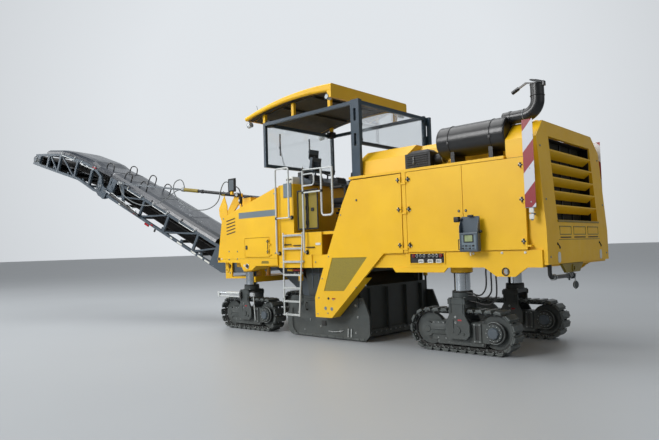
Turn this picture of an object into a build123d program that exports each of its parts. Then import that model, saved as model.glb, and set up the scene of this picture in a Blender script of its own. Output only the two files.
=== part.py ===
"""Cold planer: a road milling machine on four steered crawlers, with a slewing front discharge conveyor.

Machine frame while modelling, in millimetres: X forward from the rear face of the radiator cowl, towards the
discharge conveyor, Y to the machine's left from its centre line, Z up from the ground. Every sub-part is then
moved by ORIGIN so that the row's origin lies on the ground under the middle of the whole machine.
"""
from build123d import *
from math import atan2, cos, degrees, hypot, pi, radians, sin
import os

# ---- row origin, in the machine frame ----
ORIGIN_X = 6915.0
ORIGIN_Y = 497.0

# ---- general clearances ----
SEAT_GAP = 0.3          # between pieces that only rest beside each other
RUN_GAP = 0.3           # radial, shafts and columns in their guides
DOOR_GAP = 8.0          # round a door's edges

# ---- body and chassis ----
BODY_HALF = 1250.0      # outer face of doors and side panels
CHASSIS_Z0 = 1231.0
CHASSIS_Z1 = 1455.0
RAIL_Y0 = 640.0
RAIL_Y1 = 900.0
RAIL_X0 = 60.0
RAIL_X1 = 6600.0
SILL_THICK = 30.0
SILL_Y = 1222.0         # outer face of the sills
DECK_X1 = 4960.0        # front end of the outer sills
CROSS_WIDTH = 160.0
CROSS_X = (60.0, 1000.0, 1820.0, 2800.0, 3250.0, 4560.0)

# ---- crawlers ----
CRAWLER_Y = 870.0
REAR_CRAWLER_X = 1410.0
FRONT_CRAWLER_X = 6170.0
TRACK_LENGTH = 1690.0
TRACK_HEIGHT = 627.0
TRACK_GROUND = 0.0
SHOE_WIDTH = 300.0
SHOE_COUNT = 27
SHOE_DEPTH = 46.0       # grouser tip to chain band
SHOE_RUN = 114.0        # shoe length along the chain
CHAIN_BAND = 34.0
CHAIN_WIDTH = 170.0
WHEEL_WIDTH = 90.0
YOKE_TOP = 790.0
YOKE_PLATE = 60.0
YOKE_ARM = 34.0
YOKE_ARM_GAP = 14.0
YOKE_ARM_RUN = 250.0
YOKE_FOOT_RUN = 390.0
YOKE_ARM_FOOT = 205.0
PIVOT_Z = 330.0
PIVOT_R = 55.0
COLUMN_R = 116.0
COLUMN_TOP = 1640.0
GUIDE_WALL = 42.0
GUIDE_Z0 = 1150.0
GUIDE_Z1 = 1700.0
ROLLER_R = 62.0
ROLLER_COUNT = 5

# ---- milling drum and its housing ----
DRUM_X = 3950.0
DRUM_Z = 530.0
DRUM_TIP_R = 508.0
DRUM_SHELL_R = 400.0
DRUM_Y0 = -1040.0
DRUM_Y1 = 920.0
PICK_ROWS = 26
PICK_STARTS = 2
HOUSING_R = 560.0
HOUSING_WALL = 20.0
HOUSING_END = 20.0
HOUSING_END_GAP = 12.0
HOUSING_TOP = CHASSIS_Z0
SHAFT_R = 90.0
SHAFT_Y0 = DRUM_Y0 - HOUSING_END_GAP - HOUSING_END - 3
SHAFT_Y1 = DRUM_Y1 + HOUSING_END_GAP + HOUSING_END + 3

# ---- side plates ----
PLATE_THICK = 40.0
PLATE_GAP = 12.0
PLATE_X0 = 3060.0
PLATE_X1 = 4990.0
PLATE_BOTTOM = 12.0
PLATE_TOP = 720.0
PLATE_CORNER = 150.0
PLATE_LIFT = 250.0
LIFT_ROD_R = 20.0
LIFT_BARREL_R = 44.0
LIFT_BARREL_Z0 = 985.0
LIFT_ROD_TOP = 1060.0
LIFT_X = (3330.0, 4640.0)
LEFT_PLATE_Y = DRUM_Y1 + HOUSING_END_GAP + HOUSING_END + PLATE_GAP
RIGHT_PLATE_Y = DRUM_Y0 - HOUSING_END_GAP - HOUSING_END - PLATE_GAP
LEFT_PLATE_MID = LEFT_PLATE_Y + PLATE_THICK / 2
RIGHT_PLATE_MID = RIGHT_PLATE_Y - PLATE_THICK / 2

# ---- moldboard ----
BOARD_X0 = 3300.0
BOARD_THICK = 36.0
BOARD_BOTTOM = 30.0
BOARD_TOP = 900.0
BOARD_LIFT = 250.0

# ---- primary conveyor ----
PRIMARY_START = (4800.0, 455.0)
PRIMARY_SLOPE = 34.0
PRIMARY_LENGTH = 2450.0
PRIMARY_HALF = 430.0
PRIMARY_DEPTH = 300.0
PRIMARY_PLATE = 12.0

# ---- rear enclosure ----
ENCLOSURE_X0 = 226.0
ENCLOSURE_X1 = 3160.0
DOOR_Z0 = 1463.0
DOOR_Z1 = 2661.0
DOOR_THICK = 36.0
DOOR_MEET_X = 1135.0
POST_X0 = 2078.0
POST_X1 = 2161.0
ROOF_THICK = 40.0
FRAME_Y = BODY_HALF - DOOR_THICK - DOOR_GAP
FRAME_BAR = 50.0
HINGE_R = 9.0
HINGE_OUT = 12.0        # hinge line outside the doors' face
HINGE_LENGTH = 90.0
HINGE_LUG = 26.0
HOOD_Z1 = 3160.0
HOOD_X0 = 560.0
HOOD_HALF_LEFT = 700.0
HOOD_HALF_RIGHT = 1000.0
HOOD_FRONT_X = 2210.0
HOOD_END_X = 3200.0
ENGINE_HALF = 690.0

# ---- belt guard ----
GUARD_DEPTH = 210.0
GUARD_OUTLINE = (
    # x, z of each corner of the outer face
    (2161.0, 1453.0),
    (2161.0, 2655.0),
    (3158.0, 2648.0),
    (3362.0, 2280.0),
    (3813.0, 1255.0),
    (4040.0, 728.0),
    (4037.0, 392.0),
    (3664.0, 395.0),
    (2542.0, 1450.0),
)

# ---- radiator cowl ----
COWL_HALF = 1192.0
COWL_TOP_HALF = 930.0
COWL_SHOULDER_Z = 2920.0
COWL_Z0 = 1262.0
COWL_Z1 = 3160.0
COWL_DEPTH = 500.0
COWL_WALL = 30.0
COWL_LEAN = 95.0
LOUVRE_HALF = 790.0
LOUVRE_Z0 = 1840.0
LOUVRE_Z1 = 2960.0
LOUVRE_COUNT = 6

# ---- front body ----
FRONT_X0 = 4970.0
FRONT_OUTLINE = (
    # x, z of each corner of the side
    (4970.0, 1274.0),
    (5578.0, 1267.0),
    (5698.0, 1191.0),
    (5969.0, 1191.0),
    (6056.0, 1331.0),
    (6766.0, 1343.0),
    (6600.0, 2240.0),
    (6423.0, 2290.0),
    (4970.0, 2710.0),
)
FRONT_WALL = 40.0
TUNNEL_HALF = 800.0
HATCH = (5190.0, 5890.0, 1435.0, 1795.0)    # x0, x1, z0, z1
HATCH_RECESS = 60.0

# ---- platform and canopy ----
PLATFORM_Z = 1850.0
PLATFORM_X0 = 3200.0
PLATFORM_THICK = 50.0
CABINET_X0 = 4550.0
CABINET_TOP = 2740.0
ROOF_REAR_X = 3640.0
ROOF_FRONT_X = 5950.0
ROOF_HALF = 1130.0
ROOF_REAR_Z = 4400.0
ROOF_FRONT_Z = 4200.0
ROOF_REAR_DEPTH = 240.0
ROOF_SIDE_DEPTH = 140.0
ROOF_FRONT_DEPTH = 70.0
ROOF_CROWN = 95.0        # how far the roof line bows above a straight line
ROOF_SKIRT = 100.0
ROOF_WALL = 40.0
RAIL_TOP = 4040.0
SCREEN_X = 5500.0
SCREEN_HALF = 1000.0
SCREEN_Z0 = 3170.0
POST_SIZE = 60.0
REAR_POST_X = 3155.0
REAR_POST_Z0 = DOOR_Z1 + DOOR_GAP + ROOF_THICK + SEAT_GAP

# ---- muffler ----
MUFFLER_Y = 980.0
MUFFLER_Z = 3045.0
MUFFLER_R = 230.0
MUFFLER_X0 = 508.0
MUFFLER_X1 = 1558.0
STACK_X = 120.0
STACK_Z = 3246.0
STACK_TOP = 3640.0
STACK_R = 88.0

# ---- towing and lashing ----
HITCH_Y = 270.0
HITCH_Z = 1186.0
HITCH_R = 30.0
HITCH_THICK = 36.0
LASH_X = 560.0
LASH_Z = 1176.0
LASH_R = 38.0

# ---- discharge conveyor ----
SLEW_X = 6950.0
SLEW_REST = 14.4        # degrees to the left of straight ahead
INNER_SLOPE = 28.19
OUTER_SLOPE = 21.0
LUFF_S = 330.0          # luff pin ahead of the slew axis
LUFF_Z = 1250.0
BOOM_HALF = 590.0
TAIL_S = -220.0
TAIL_Z0 = 1100.0
TAIL_TOP = 1300.0
BOOM_BOTTOM_Z = 1100.0  # height at which the sloping bottom chord starts
BOOM_BOTTOM_S = 575.0
FOLD_S = 4230.0
BOOM_DEPTH = 500.0
CHORD = 60.0
INNER_START = 250.0     # start of the inner boom's chords up the slope
INNER_UPRIGHTS = (3200.0, 2210.0, 1350.0)   # distances back from the fold
OUTER_BOTTOM = (
    # x, z of the underside of the arched bottom chord, in the outer boom's frame
    (30.0, -10.0),
    (420.0, -10.0),
    (730.0, 40.0),
    (1050.0, 85.0),
    (1540.0, 60.0),
    (1910.0, 40.0),
    (2490.0, 13.0),
    (2930.0, 0.0),
)
OUTER_TOP = (
    # x, z of the top edge of the arched top chord
    (240.0, 420.0),
    (440.0, 520.0),
    (700.0, 585.0),
    (940.0, 598.0),
    (1240.0, 595.0),
    (1610.0, 589.0),
    (1970.0, 541.0),
    (2440.0, 415.0),
    (2880.0, 285.0),
)
OUTER_BAYS = (
    # x0, x1 of each window in the outer boom's sides, and whether a diagonal crosses it
    (310.0, 590.0, False),
    (660.0, 1190.0, False),
    (1250.0, 1870.0, True),
    (1930.0, 2320.0, True),
    (2380.0, 2680.0, False),
)
WINDOW_CORNER = 40.0
FOLD_GAP = 30.0
FOLD_PIN_DROP = 55.0    # fold pin below the chords' meeting line
FOLD_PIN_R = 18.0
FOLD_EAR_R = 42.0
YOKE_GAP = 18.0
YOKE_SIDE = 40.0
YOKE_S0 = 250.0
YOKE_S1 = 420.0
YOKE_FOOT_Z = 981.0
SLEW_PIN_R = 60.0
YOKE_FOOT = 40.0
NOSE_Z0 = 930.0
NOSE_Z1 = 980.0
MAST_TOP = 2790.0
STRUT_S = 20.0
STRUT_Z = 2755.0
STRUT_END_S = 3560.0
STRUT_END_Z = 3290.0
STRUT_R = 34.0
STRUT_ROD_R = 18.0
STRUT_SIDE = 700.0
STRUT_PIN_R = 22.0
HOOD_RISE = 125.0
CHEEK = 20.0
BELT_SHAFT_R = 34.0
INNER_BELT_X = 60.0
INNER_DRUM_R = 100.0
INNER_DRUM_Z = 220.0
OUTER_DRUM_R = 110.0
OUTER_TAIL = (200.0, 232.0)     # x, z of the outer belt's drums
OUTER_HEAD = (2860.0, 148.0)
HOOD_PATH = (
    # x, z of the outer hood's lower edge, over the top chord
    (-50.0, 498.0),
    (440.0, 521.0),
    (700.0, 586.0),
    (940.0, 599.0),
    (1240.0, 596.0),
    (1610.0, 590.0),
    (1970.0, 542.0),
    (2500.0, 400.0),
)


# ---- drawing helpers ----
def block(x0, x1, y0, y1, z0, z1):
    """A box between two corners."""
    return Pos((x0 + x1) / 2, (y0 + y1) / 2, (z0 + z1) / 2) * Box(x1 - x0, y1 - y0, z1 - z0)


def side_prism(outline, y0, y1):
    """A plate whose outline is drawn in X and Z, between two Y values."""
    wire = Wire.make_polygon([Vector(x, y0, z) for x, z in outline], close=True)
    return extrude(Face(wire), amount=y1 - y0, dir=(0, 1, 0))


def plan_prism(outline, z0, z1):
    """A plate whose outline is drawn in X and Y, between two heights."""
    wire = Wire.make_polygon([Vector(x, y, z0) for x, y in outline], close=True)
    return extrude(Face(wire), amount=z1 - z0, dir=(0, 0, 1))


def cross_prism(outline, x0, x1):
    """A bar whose section is drawn in Y and Z, between two X values."""
    wire = Wire.make_polygon([Vector(x0, y, z) for y, z in outline], close=True)
    return extrude(Face(wire), amount=x1 - x0, dir=(1, 0, 0))


def rod(start, end, radius):
    """A round bar between two points."""
    start, end = Vector(*start), Vector(*end)
    return Solid.make_cylinder(radius, (end - start).length, Plane(origin=start, z_dir=end - start))


def tube(start, end, outer, inner):
    """A round tube between two points."""
    start, end = Vector(*start), Vector(*end)
    spare = (end - start).normalized() * 1.0
    return rod(tuple(start), tuple(end), outer) - rod(tuple(start - spare), tuple(end + spare), inner)


def bent_bar(points, radius, bend, sides=0):
    """A bar that follows straight runs with rounded bends, round or with a few flat sides."""
    path = FilletPolyline(*points, radius=bend)
    start = Plane(origin=path @ 0, z_dir=path % 0)
    section = RegularPolygon(radius, sides) if sides else Circle(radius)
    return sweep(start * section, path=path)


def run_prism(section, path):
    """A bar whose section, drawn in Y and Z, follows a line of points in X and Z."""
    pieces = []
    for (xa, za), (xb, zb) in zip(path, path[1:]):
        wire = Wire.make_polygon([Vector(xa, y, za + z) for y, z in section], close=True)
        run = Vector(xb - xa, 0, zb - za)
        pieces.append(extrude(Face(wire), amount=run.length, dir=run.normalized()))
    return join(pieces)


def lattice_bar(a, b, width, y0, y1):
    """A slanted flat bar between two points in X and Z."""
    run = Vector(b[0] - a[0], 0, b[1] - a[1])
    across = Vector(-run.Z, 0, run.X).normalized() * (width / 2)
    corners = [(a[0] - across.X, a[1] - across.Z), (b[0] - across.X, b[1] - across.Z),
               (b[0] + across.X, b[1] + across.Z), (a[0] + across.X, a[1] + across.Z)]
    return side_prism(corners, y0, y1)


def height_on(line, x):
    """Height at X on a line of (x, z) points."""
    for (xa, za), (xb, zb) in zip(line, line[1:]):
        if x <= xb:
            return za + (zb - za) * (x - xa) / (xb - xa)
    return line[-1][1]


def join(shapes):
    """Fuse a list of shapes into one."""
    return Part() + [solid for shape in shapes for solid in shape.solids()]


def mirror_y(shape):
    """The same piece on the machine's other side."""
    return mirror(shape, about=Plane.XZ)


def group(shapes):
    """Separate solids kept in one node."""
    return Compound([solid for shape in shapes for solid in shape.solids()])


def slanted_prism(outline, half):
    """A piece symmetrical about the plane Y = 0, with its outline in X and Z."""
    return side_prism(outline, -half, half)


# ---- chassis ----
def primary_bottom(x):
    """Height of the primary conveyor's underside at a distance along the machine."""
    t = radians(PRIMARY_SLOPE)
    return PRIMARY_START[1] + (x - PRIMARY_START[0]) * sin(t) / cos(t)


def chassis_frame():
    """Two box rails, cross members, outer sills and the four column guides."""
    pieces = []
    for side in (1, -1):
        y0, y1 = sorted((side * RAIL_Y0, side * RAIL_Y1))
        pieces.append(block(RAIL_X0, RAIL_X1, y0, y1, CHASSIS_Z0, CHASSIS_Z1))
        y0, y1 = sorted((side * (SILL_Y - SILL_THICK), side * SILL_Y))
        pieces.append(block(RAIL_X0, DECK_X1, y0, y1, CHASSIS_Z0, CHASSIS_Z1))
        outline = (
            (250.0, CHASSIS_Z0 + 10),
            (430.0, CHASSIS_Z0 - 120),
            (690.0, CHASSIS_Z0 - 120),
            (880.0, CHASSIS_Z0 + 10),
        )
        skirt = side_prism(outline, y0, y1)
        skirt -= rod((LASH_X, y0 - 1, LASH_Z), (LASH_X, y1 + 1, LASH_Z), LASH_R)
        pieces.append(skirt)
    for x in CROSS_X:
        pieces.append(block(x, x + CROSS_WIDTH, -SILL_Y + 5, SILL_Y - 5, CHASSIS_Z0, CHASSIS_Z1))
    pieces.append(block(DECK_X1 - 60, DECK_X1, -SILL_Y + 5, SILL_Y - 5, CHASSIS_Z1 - 60, CHASSIS_Z1))
    pieces.append(block(FRONT_CRAWLER_X - 150, FRONT_CRAWLER_X + 150, -RAIL_Y1, RAIL_Y1, NOSE_Z0, NOSE_Z1 + 60))
    for side in (1, -1):
        y0, y1 = sorted((side * RAIL_Y0, side * (RAIL_Y0 + 60)))
        pieces.append(block(FRONT_CRAWLER_X - 150, FRONT_CRAWLER_X + 150, y0, y1, NOSE_Z0, CHASSIS_Z0 + 10))
    pieces.append(block(FRONT_CRAWLER_X + 100, SLEW_X + 160, -180.0, 180.0, NOSE_Z0, NOSE_Z1))
    for side in (1, -1):
        y0, y1 = sorted((side * (PRIMARY_HALF - 40), side * PRIMARY_HALF))
        x0, x1 = FRONT_CRAWLER_X - 40, FRONT_CRAWLER_X + 40
        stand = ((x0, NOSE_Z1), (x1, NOSE_Z1), (x1, primary_bottom(x1) - SEAT_GAP), (x0, primary_bottom(x0) - SEAT_GAP))
        pieces.append(side_prism(stand, y0, y1))
    for x in LIFT_X:
        for y in (LEFT_PLATE_MID, RIGHT_PLATE_MID):
            pieces.append(rod((x, y, LIFT_BARREL_Z0), (x, y, CHASSIS_Z0 + 5), LIFT_BARREL_R))
    body = join(pieces)
    for x in LIFT_X:
        for y in (LEFT_PLATE_MID, RIGHT_PLATE_MID):
            body = body.cut(rod((x, y, LIFT_BARREL_Z0 - 1), (x, y, CHASSIS_Z1 - 20), LIFT_ROD_R + RUN_GAP))
    body = body.cut(rod((SLEW_X, 0, NOSE_Z0 - 1), (SLEW_X, 0, NOSE_Z1 + 1), SLEW_PIN_R + RUN_GAP))
    body = body.cut(block(POST_X1 - 20, 4120.0, BODY_HALF - DOOR_THICK - 10, BODY_HALF, CHASSIS_Z0 - 1, CHASSIS_Z1 + 1))
    for x in (REAR_CRAWLER_X, FRONT_CRAWLER_X):
        for side in (1, -1):
            y = side * CRAWLER_Y
            outer = rod((x, y, GUIDE_Z0), (x, y, GUIDE_Z1), COLUMN_R + GUIDE_WALL)
            body = body.fuse(outer)
    for x in (REAR_CRAWLER_X, FRONT_CRAWLER_X):
        for side in (1, -1):
            y = side * CRAWLER_Y
            bore = rod((x, y, YOKE_TOP), (x, y, GUIDE_Z1 - GUIDE_WALL), COLUMN_R + RUN_GAP)
            body = body.cut(bore)
    return body


# ---- crawlers ----
TRACK_R = TRACK_HEIGHT / 2
WHEEL_SPACING = TRACK_LENGTH - TRACK_HEIGHT
BAND_R = TRACK_R - SHOE_DEPTH
WHEEL_R = BAND_R - CHAIN_BAND - SEAT_GAP
TRACK_Z = TRACK_GROUND + TRACK_R


def stadium(spacing, radius, width):
    """A loop's outline as a solid, across Y, centred on the crawler."""
    shape = block(-spacing / 2, spacing / 2, -width / 2, width / 2, -radius, radius)
    for x in (-spacing / 2, spacing / 2):
        shape = shape.fuse(rod((x, -width / 2, 0), (x, width / 2, 0), radius))
    return shape


def track_local():
    """One track: a chain band with its shoes."""
    band = stadium(WHEEL_SPACING, BAND_R + 2, CHAIN_WIDTH)
    band = band.cut(stadium(WHEEL_SPACING, BAND_R - CHAIN_BAND, CHAIN_WIDTH + 2))
    straight = WHEEL_SPACING
    curve = pi * BAND_R
    length = 2 * straight + 2 * curve
    shoes = []
    for i in range(SHOE_COUNT):
        along = (i + 0.5) * length / SHOE_COUNT
        shoe = Box(SHOE_RUN, SHOE_WIDTH, SHOE_DEPTH)
        lift = BAND_R + SHOE_DEPTH / 2
        if along < straight:
            place = Pos(-straight / 2 + along, 0, -lift)
        elif along < straight + curve:
            angle = (along - straight) / BAND_R
            place = Pos(straight / 2, 0, 0) * Rot(0, -degrees(angle), 0) * Pos(0, 0, -lift)
        elif along < 2 * straight + curve:
            place = Pos(straight / 2 - (along - straight - curve), 0, lift)
        else:
            angle = (along - 2 * straight - curve) / BAND_R
            place = Pos(-straight / 2, 0, 0) * Rot(0, -degrees(angle), 0) * Pos(0, 0, lift)
        shoes.append(place * shoe)
    return band.fuse(*shoes) & stadium(WHEEL_SPACING, TRACK_R, SHOE_WIDTH + 2)


def crawler_frame_local():
    """Side frame, drive wheel, idler, rollers and the inverted yoke over the track."""
    half = YOKE_ARM_RUN / 2
    pieces = []
    for x in (-WHEEL_SPACING / 2, WHEEL_SPACING / 2):
        pieces.append(rod((x, -WHEEL_WIDTH / 2, 0), (x, WHEEL_WIDTH / 2, 0), WHEEL_R))
        pieces.append(rod((x, -SHOE_WIDTH / 2 + 15, 0), (x, SHOE_WIDTH / 2 - 15, 0), WHEEL_R * 0.45))
    drop = -(BAND_R - CHAIN_BAND - SEAT_GAP - ROLLER_R)
    for i in range(ROLLER_COUNT):
        x = (i - (ROLLER_COUNT - 1) / 2) * WHEEL_SPACING / (ROLLER_COUNT + 1)
        pieces.append(rod((x, -WHEEL_WIDTH / 2, drop), (x, WHEEL_WIDTH / 2, drop), ROLLER_R))
    beam = WHEEL_SPACING / 2
    pieces.append(block(-beam, beam, -75, 75, -130, 130))
    for side in (1, -1):
        y0, y1 = sorted((side * 75, side * 125))
        pieces.append(block(-beam + 70, beam - 70, y0, y1, -150, 120))
    arm_y = SHOE_WIDTH / 2 + YOKE_ARM_GAP
    for side in (1, -1):
        y0, y1 = sorted((side * arm_y, side * (arm_y + YOKE_ARM)))
        foot, wide = YOKE_ARM_FOOT - TRACK_Z, YOKE_FOOT_RUN / 2
        knee = PIVOT_Z - TRACK_Z + 85
        arm = side_prism(((-wide, foot + 60), (-wide + 60, foot), (wide - 60, foot), (wide, foot + 60), (wide, knee),
                          (half, knee + 130), (half, YOKE_TOP - TRACK_Z), (-half, YOKE_TOP - TRACK_Z),
                          (-half, knee + 130), (-wide, knee)), y0, y1)
        pieces.append(arm)
    reach = arm_y + YOKE_ARM
    pieces.append(block(-half, half, -reach, reach, YOKE_TOP - YOKE_PLATE - TRACK_Z, YOKE_TOP - TRACK_Z))
    pieces.append(rod((0, -reach - 12, PIVOT_Z - TRACK_Z), (0, reach + 12, PIVOT_Z - TRACK_Z), PIVOT_R))
    for side in (1, -1):
        for x in (-half + 30, half - 30):
            y0, y1 = sorted((side * (reach - 1), side * (reach + 10)))
            pieces.append(block(x - 9, x + 9, y0, y1, PIVOT_Z - TRACK_Z + 240, YOKE_TOP - TRACK_Z))
    ring = rod((0, 0, YOKE_TOP - TRACK_Z - 1), (0, 0, YOKE_TOP - TRACK_Z + 70), COLUMN_R + 34)
    ring = ring.cut(rod((0, 0, YOKE_TOP - TRACK_Z), (0, 0, YOKE_TOP - TRACK_Z + 71), COLUMN_R + RUN_GAP))
    pieces.append(ring)
    return join(pieces)


def column_local():
    """The lifting column that carries a crawler, bare above its yoke."""
    return rod((0, 0, YOKE_TOP - TRACK_Z), (0, 0, COLUMN_TOP - TRACK_Z), COLUMN_R)


CRAWLERS = (
    # name, x, side
    ("front_left", FRONT_CRAWLER_X, 1),
    ("front_right", FRONT_CRAWLER_X, -1),
    ("rear_left", REAR_CRAWLER_X, 1),
    ("rear_right", REAR_CRAWLER_X, -1),
)


# ---- milling drum ----
def milling_drum():
    """The cutting drum: a shell with end rings and a double spiral of picks on holders."""
    shell = rod((DRUM_X, DRUM_Y0 + 30, DRUM_Z), (DRUM_X, DRUM_Y1 - 30, DRUM_Z), DRUM_SHELL_R)
    shaft = rod((DRUM_X, SHAFT_Y0, DRUM_Z), (DRUM_X, SHAFT_Y1, DRUM_Z), SHAFT_R)
    picks = []
    middle = (DRUM_Y0 + DRUM_Y1) / 2
    reach = (DRUM_Y1 - DRUM_Y0) / 2 - 30
    for start in range(PICK_STARTS):
        for hand in (1, -1):
            for i in range(PICK_ROWS):
                y = middle + hand * (i + 0.5) * reach / PICK_ROWS
                angle = 360 * start / PICK_STARTS + hand * 0 + i * 27
                profile = ((DRUM_SHELL_R - 12, -40), (DRUM_SHELL_R + 50, -38), (DRUM_TIP_R, 22), (DRUM_SHELL_R - 12, 60))
                wire = Wire.make_polygon([Vector(r, -16, t) for r, t in profile], close=True)
                pick = extrude(Face(wire), amount=32, dir=(0, 1, 0))
                picks.append(Pos(DRUM_X, y, DRUM_Z) * Rot(0, angle, 0) * pick)
    return shell.fuse(shaft).fuse(*picks)


def housing_ring(inner, outer, y0, y1, start, end):
    """Part of a ring about the drum's axis, between two angles from forward over the top."""
    points = []
    ring = rod((DRUM_X, y0, DRUM_Z), (DRUM_X, y1, DRUM_Z), outer)
    ring = ring.cut(rod((DRUM_X, y0 - 1, DRUM_Z), (DRUM_X, y1 + 1, DRUM_Z), inner))
    reach = outer * 1.5
    points.append((DRUM_X, DRUM_Z))
    steps = 6
    for i in range(steps + 1):
        angle = radians(start + (end - start) * i / steps)
        points.append((DRUM_X + reach * cos(angle), DRUM_Z + reach * sin(angle)))
    return ring & side_prism(points, y0, y1)


def drum_housing():
    """The hood over the drum, with its end walls and the beams that hang it from the chassis."""
    wall_y0 = DRUM_Y0 - HOUSING_END_GAP - HOUSING_END
    wall_y1 = DRUM_Y1 + HOUSING_END_GAP + HOUSING_END
    hood = housing_ring(HOUSING_R, HOUSING_R + HOUSING_WALL, wall_y0, wall_y1, 35, 180)
    outer = HOUSING_R + HOUSING_WALL
    rear_x = DRUM_X - outer
    pieces = [hood]
    pieces.append(block(rear_x, rear_x + HOUSING_WALL, wall_y0, wall_y1, 300.0, DRUM_Z + 2))
    for y0 in (wall_y0, wall_y1 - HOUSING_END):
        end = side_prism(
            (
                (rear_x, 300.0),
                (DRUM_X + outer * 0.9, 300.0),
                (DRUM_X + outer * 0.9, DRUM_Z + 200.0),
                (4560.0, HOUSING_TOP - SEAT_GAP),
                (rear_x, HOUSING_TOP - SEAT_GAP),
            ),
            y0,
            y0 + HOUSING_END,
        )
        end = end.cut(rod((DRUM_X, y0 - 1, DRUM_Z), (DRUM_X, y0 + HOUSING_END + 1, DRUM_Z), SHAFT_R + RUN_GAP))
        pieces.append(end)
    top = HOUSING_TOP - SEAT_GAP
    for x in (rear_x + 30, 4400.0):
        pieces.append(block(x, x + 120, wall_y0, wall_y1, top - 100, top))
    for y in (DRUM_Y0 + 140, DRUM_Y1 - 180):
        pieces.append(block(BOARD_X0 + BOARD_THICK + SEAT_GAP, rear_x + 1, y, y + 40, 330.0, top))
        pieces.append(block(BOARD_X0 + BOARD_THICK + SEAT_GAP, rear_x + 40, y, y + 40, top - 100, top))
    return join(pieces)


def side_plate(inner_y, side):
    """A side plate that floats on the road: a plate with a rounded toe, a shoe and two lift rods."""
    y0, y1 = sorted((inner_y, inner_y + side * PLATE_THICK))
    outline = (
        (PLATE_X0 + 100.0, PLATE_BOTTOM),
        (PLATE_X1, PLATE_BOTTOM),
        (PLATE_X1, 330.0),
        (PLATE_X1 - 120.0, PLATE_TOP),
        (PLATE_X0 + 120.0, PLATE_TOP),
        (PLATE_X0, PLATE_TOP - 300.0),
        (PLATE_X0, PLATE_BOTTOM + 100.0),
    )
    plate = side_prism(outline, y0, y1)
    toe = [e for e in plate.edges().filter_by(Axis.Y) if e.center().X > PLATE_X1 - 1 and e.center().Z < 20]
    plate = fillet(toe, PLATE_CORNER)
    middle = inner_y + side * PLATE_THICK / 2
    pieces = [plate]
    for x in LIFT_X:
        pieces.append(rod((x, middle, PLATE_TOP - 60), (x, middle, LIFT_ROD_TOP), LIFT_ROD_R))
    return join(pieces)


def moldboard():
    """The scraper behind the drum, with its wear strip."""
    y0, y1 = DRUM_Y0 - 10, DRUM_Y1 + 10
    board = block(BOARD_X0, BOARD_X0 + BOARD_THICK, y0, y1, BOARD_BOTTOM + 60, BOARD_TOP)
    strip = block(BOARD_X0 - 24, BOARD_X0 + BOARD_THICK, y0, y1, BOARD_BOTTOM, BOARD_BOTTOM + 130)
    ribs = [block(BOARD_X0 - 60, BOARD_X0 + 1, y, y + 24, BOARD_BOTTOM + 100, BOARD_TOP - 40) for y in
            (y0 + 200, y0 + 700, y1 - 724, y1 - 224)]
    return join([board, strip] + ribs)


# ---- primary conveyor ----
def primary_place():
    """Where the primary conveyor's own frame lies: X up the slope, from its lower end."""
    return Location((PRIMARY_START[0], 0, PRIMARY_START[1]), (0, -PRIMARY_SLOPE, 0))


def primary_conveyor():
    """The trough that carries the primary belt up to the transfer point."""
    pieces = []
    for side in (1, -1):
        y0, y1 = sorted((side * (PRIMARY_HALF - PRIMARY_PLATE), side * PRIMARY_HALF))
        pieces.append(block(0, PRIMARY_LENGTH, y0, y1, 0, PRIMARY_DEPTH))
    inner = PRIMARY_HALF - PRIMARY_PLATE + 1
    for x in (60.0, PRIMARY_LENGTH * 0.5, PRIMARY_LENGTH - 160.0):
        pieces.append(block(x, x + 80, -inner, inner, 0, 14))
    return primary_place() * join(pieces)


def belt_loop(length, radius, half, thickness, mid_z, tail_reach, head_reach):
    """A belt round its two end drums, as one piece, starting at X = 0, with its drums' shafts out to their bearings."""
    loop = Pos(length / 2, 0, mid_z) * stadium(length - 2 * radius, radius, 2 * half)
    core = Pos(length / 2, 0, mid_z) * stadium(length - 2 * radius, radius - thickness, 2 * half + 2)
    loop = loop.cut(core)
    drums = []
    for x, reach in ((radius, tail_reach), (length - radius, head_reach)):
        drums.append(rod((x, -half - 10, mid_z), (x, half + 10, mid_z), radius - thickness + 1))
        drums.append(rod((x, -reach, mid_z), (x, reach, mid_z), BELT_SHAFT_R))
    return loop.fuse(*drums)


def primary_belt():
    """The primary belt and its end drums."""
    half = PRIMARY_HALF - PRIMARY_PLATE - 30
    reach = PRIMARY_HALF - PRIMARY_PLATE - SEAT_GAP
    return primary_place() * Pos(20, 0, 0) * belt_loop(PRIMARY_LENGTH - 40, 90.0, half, 14.0, 125.0, reach, reach)


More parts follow.
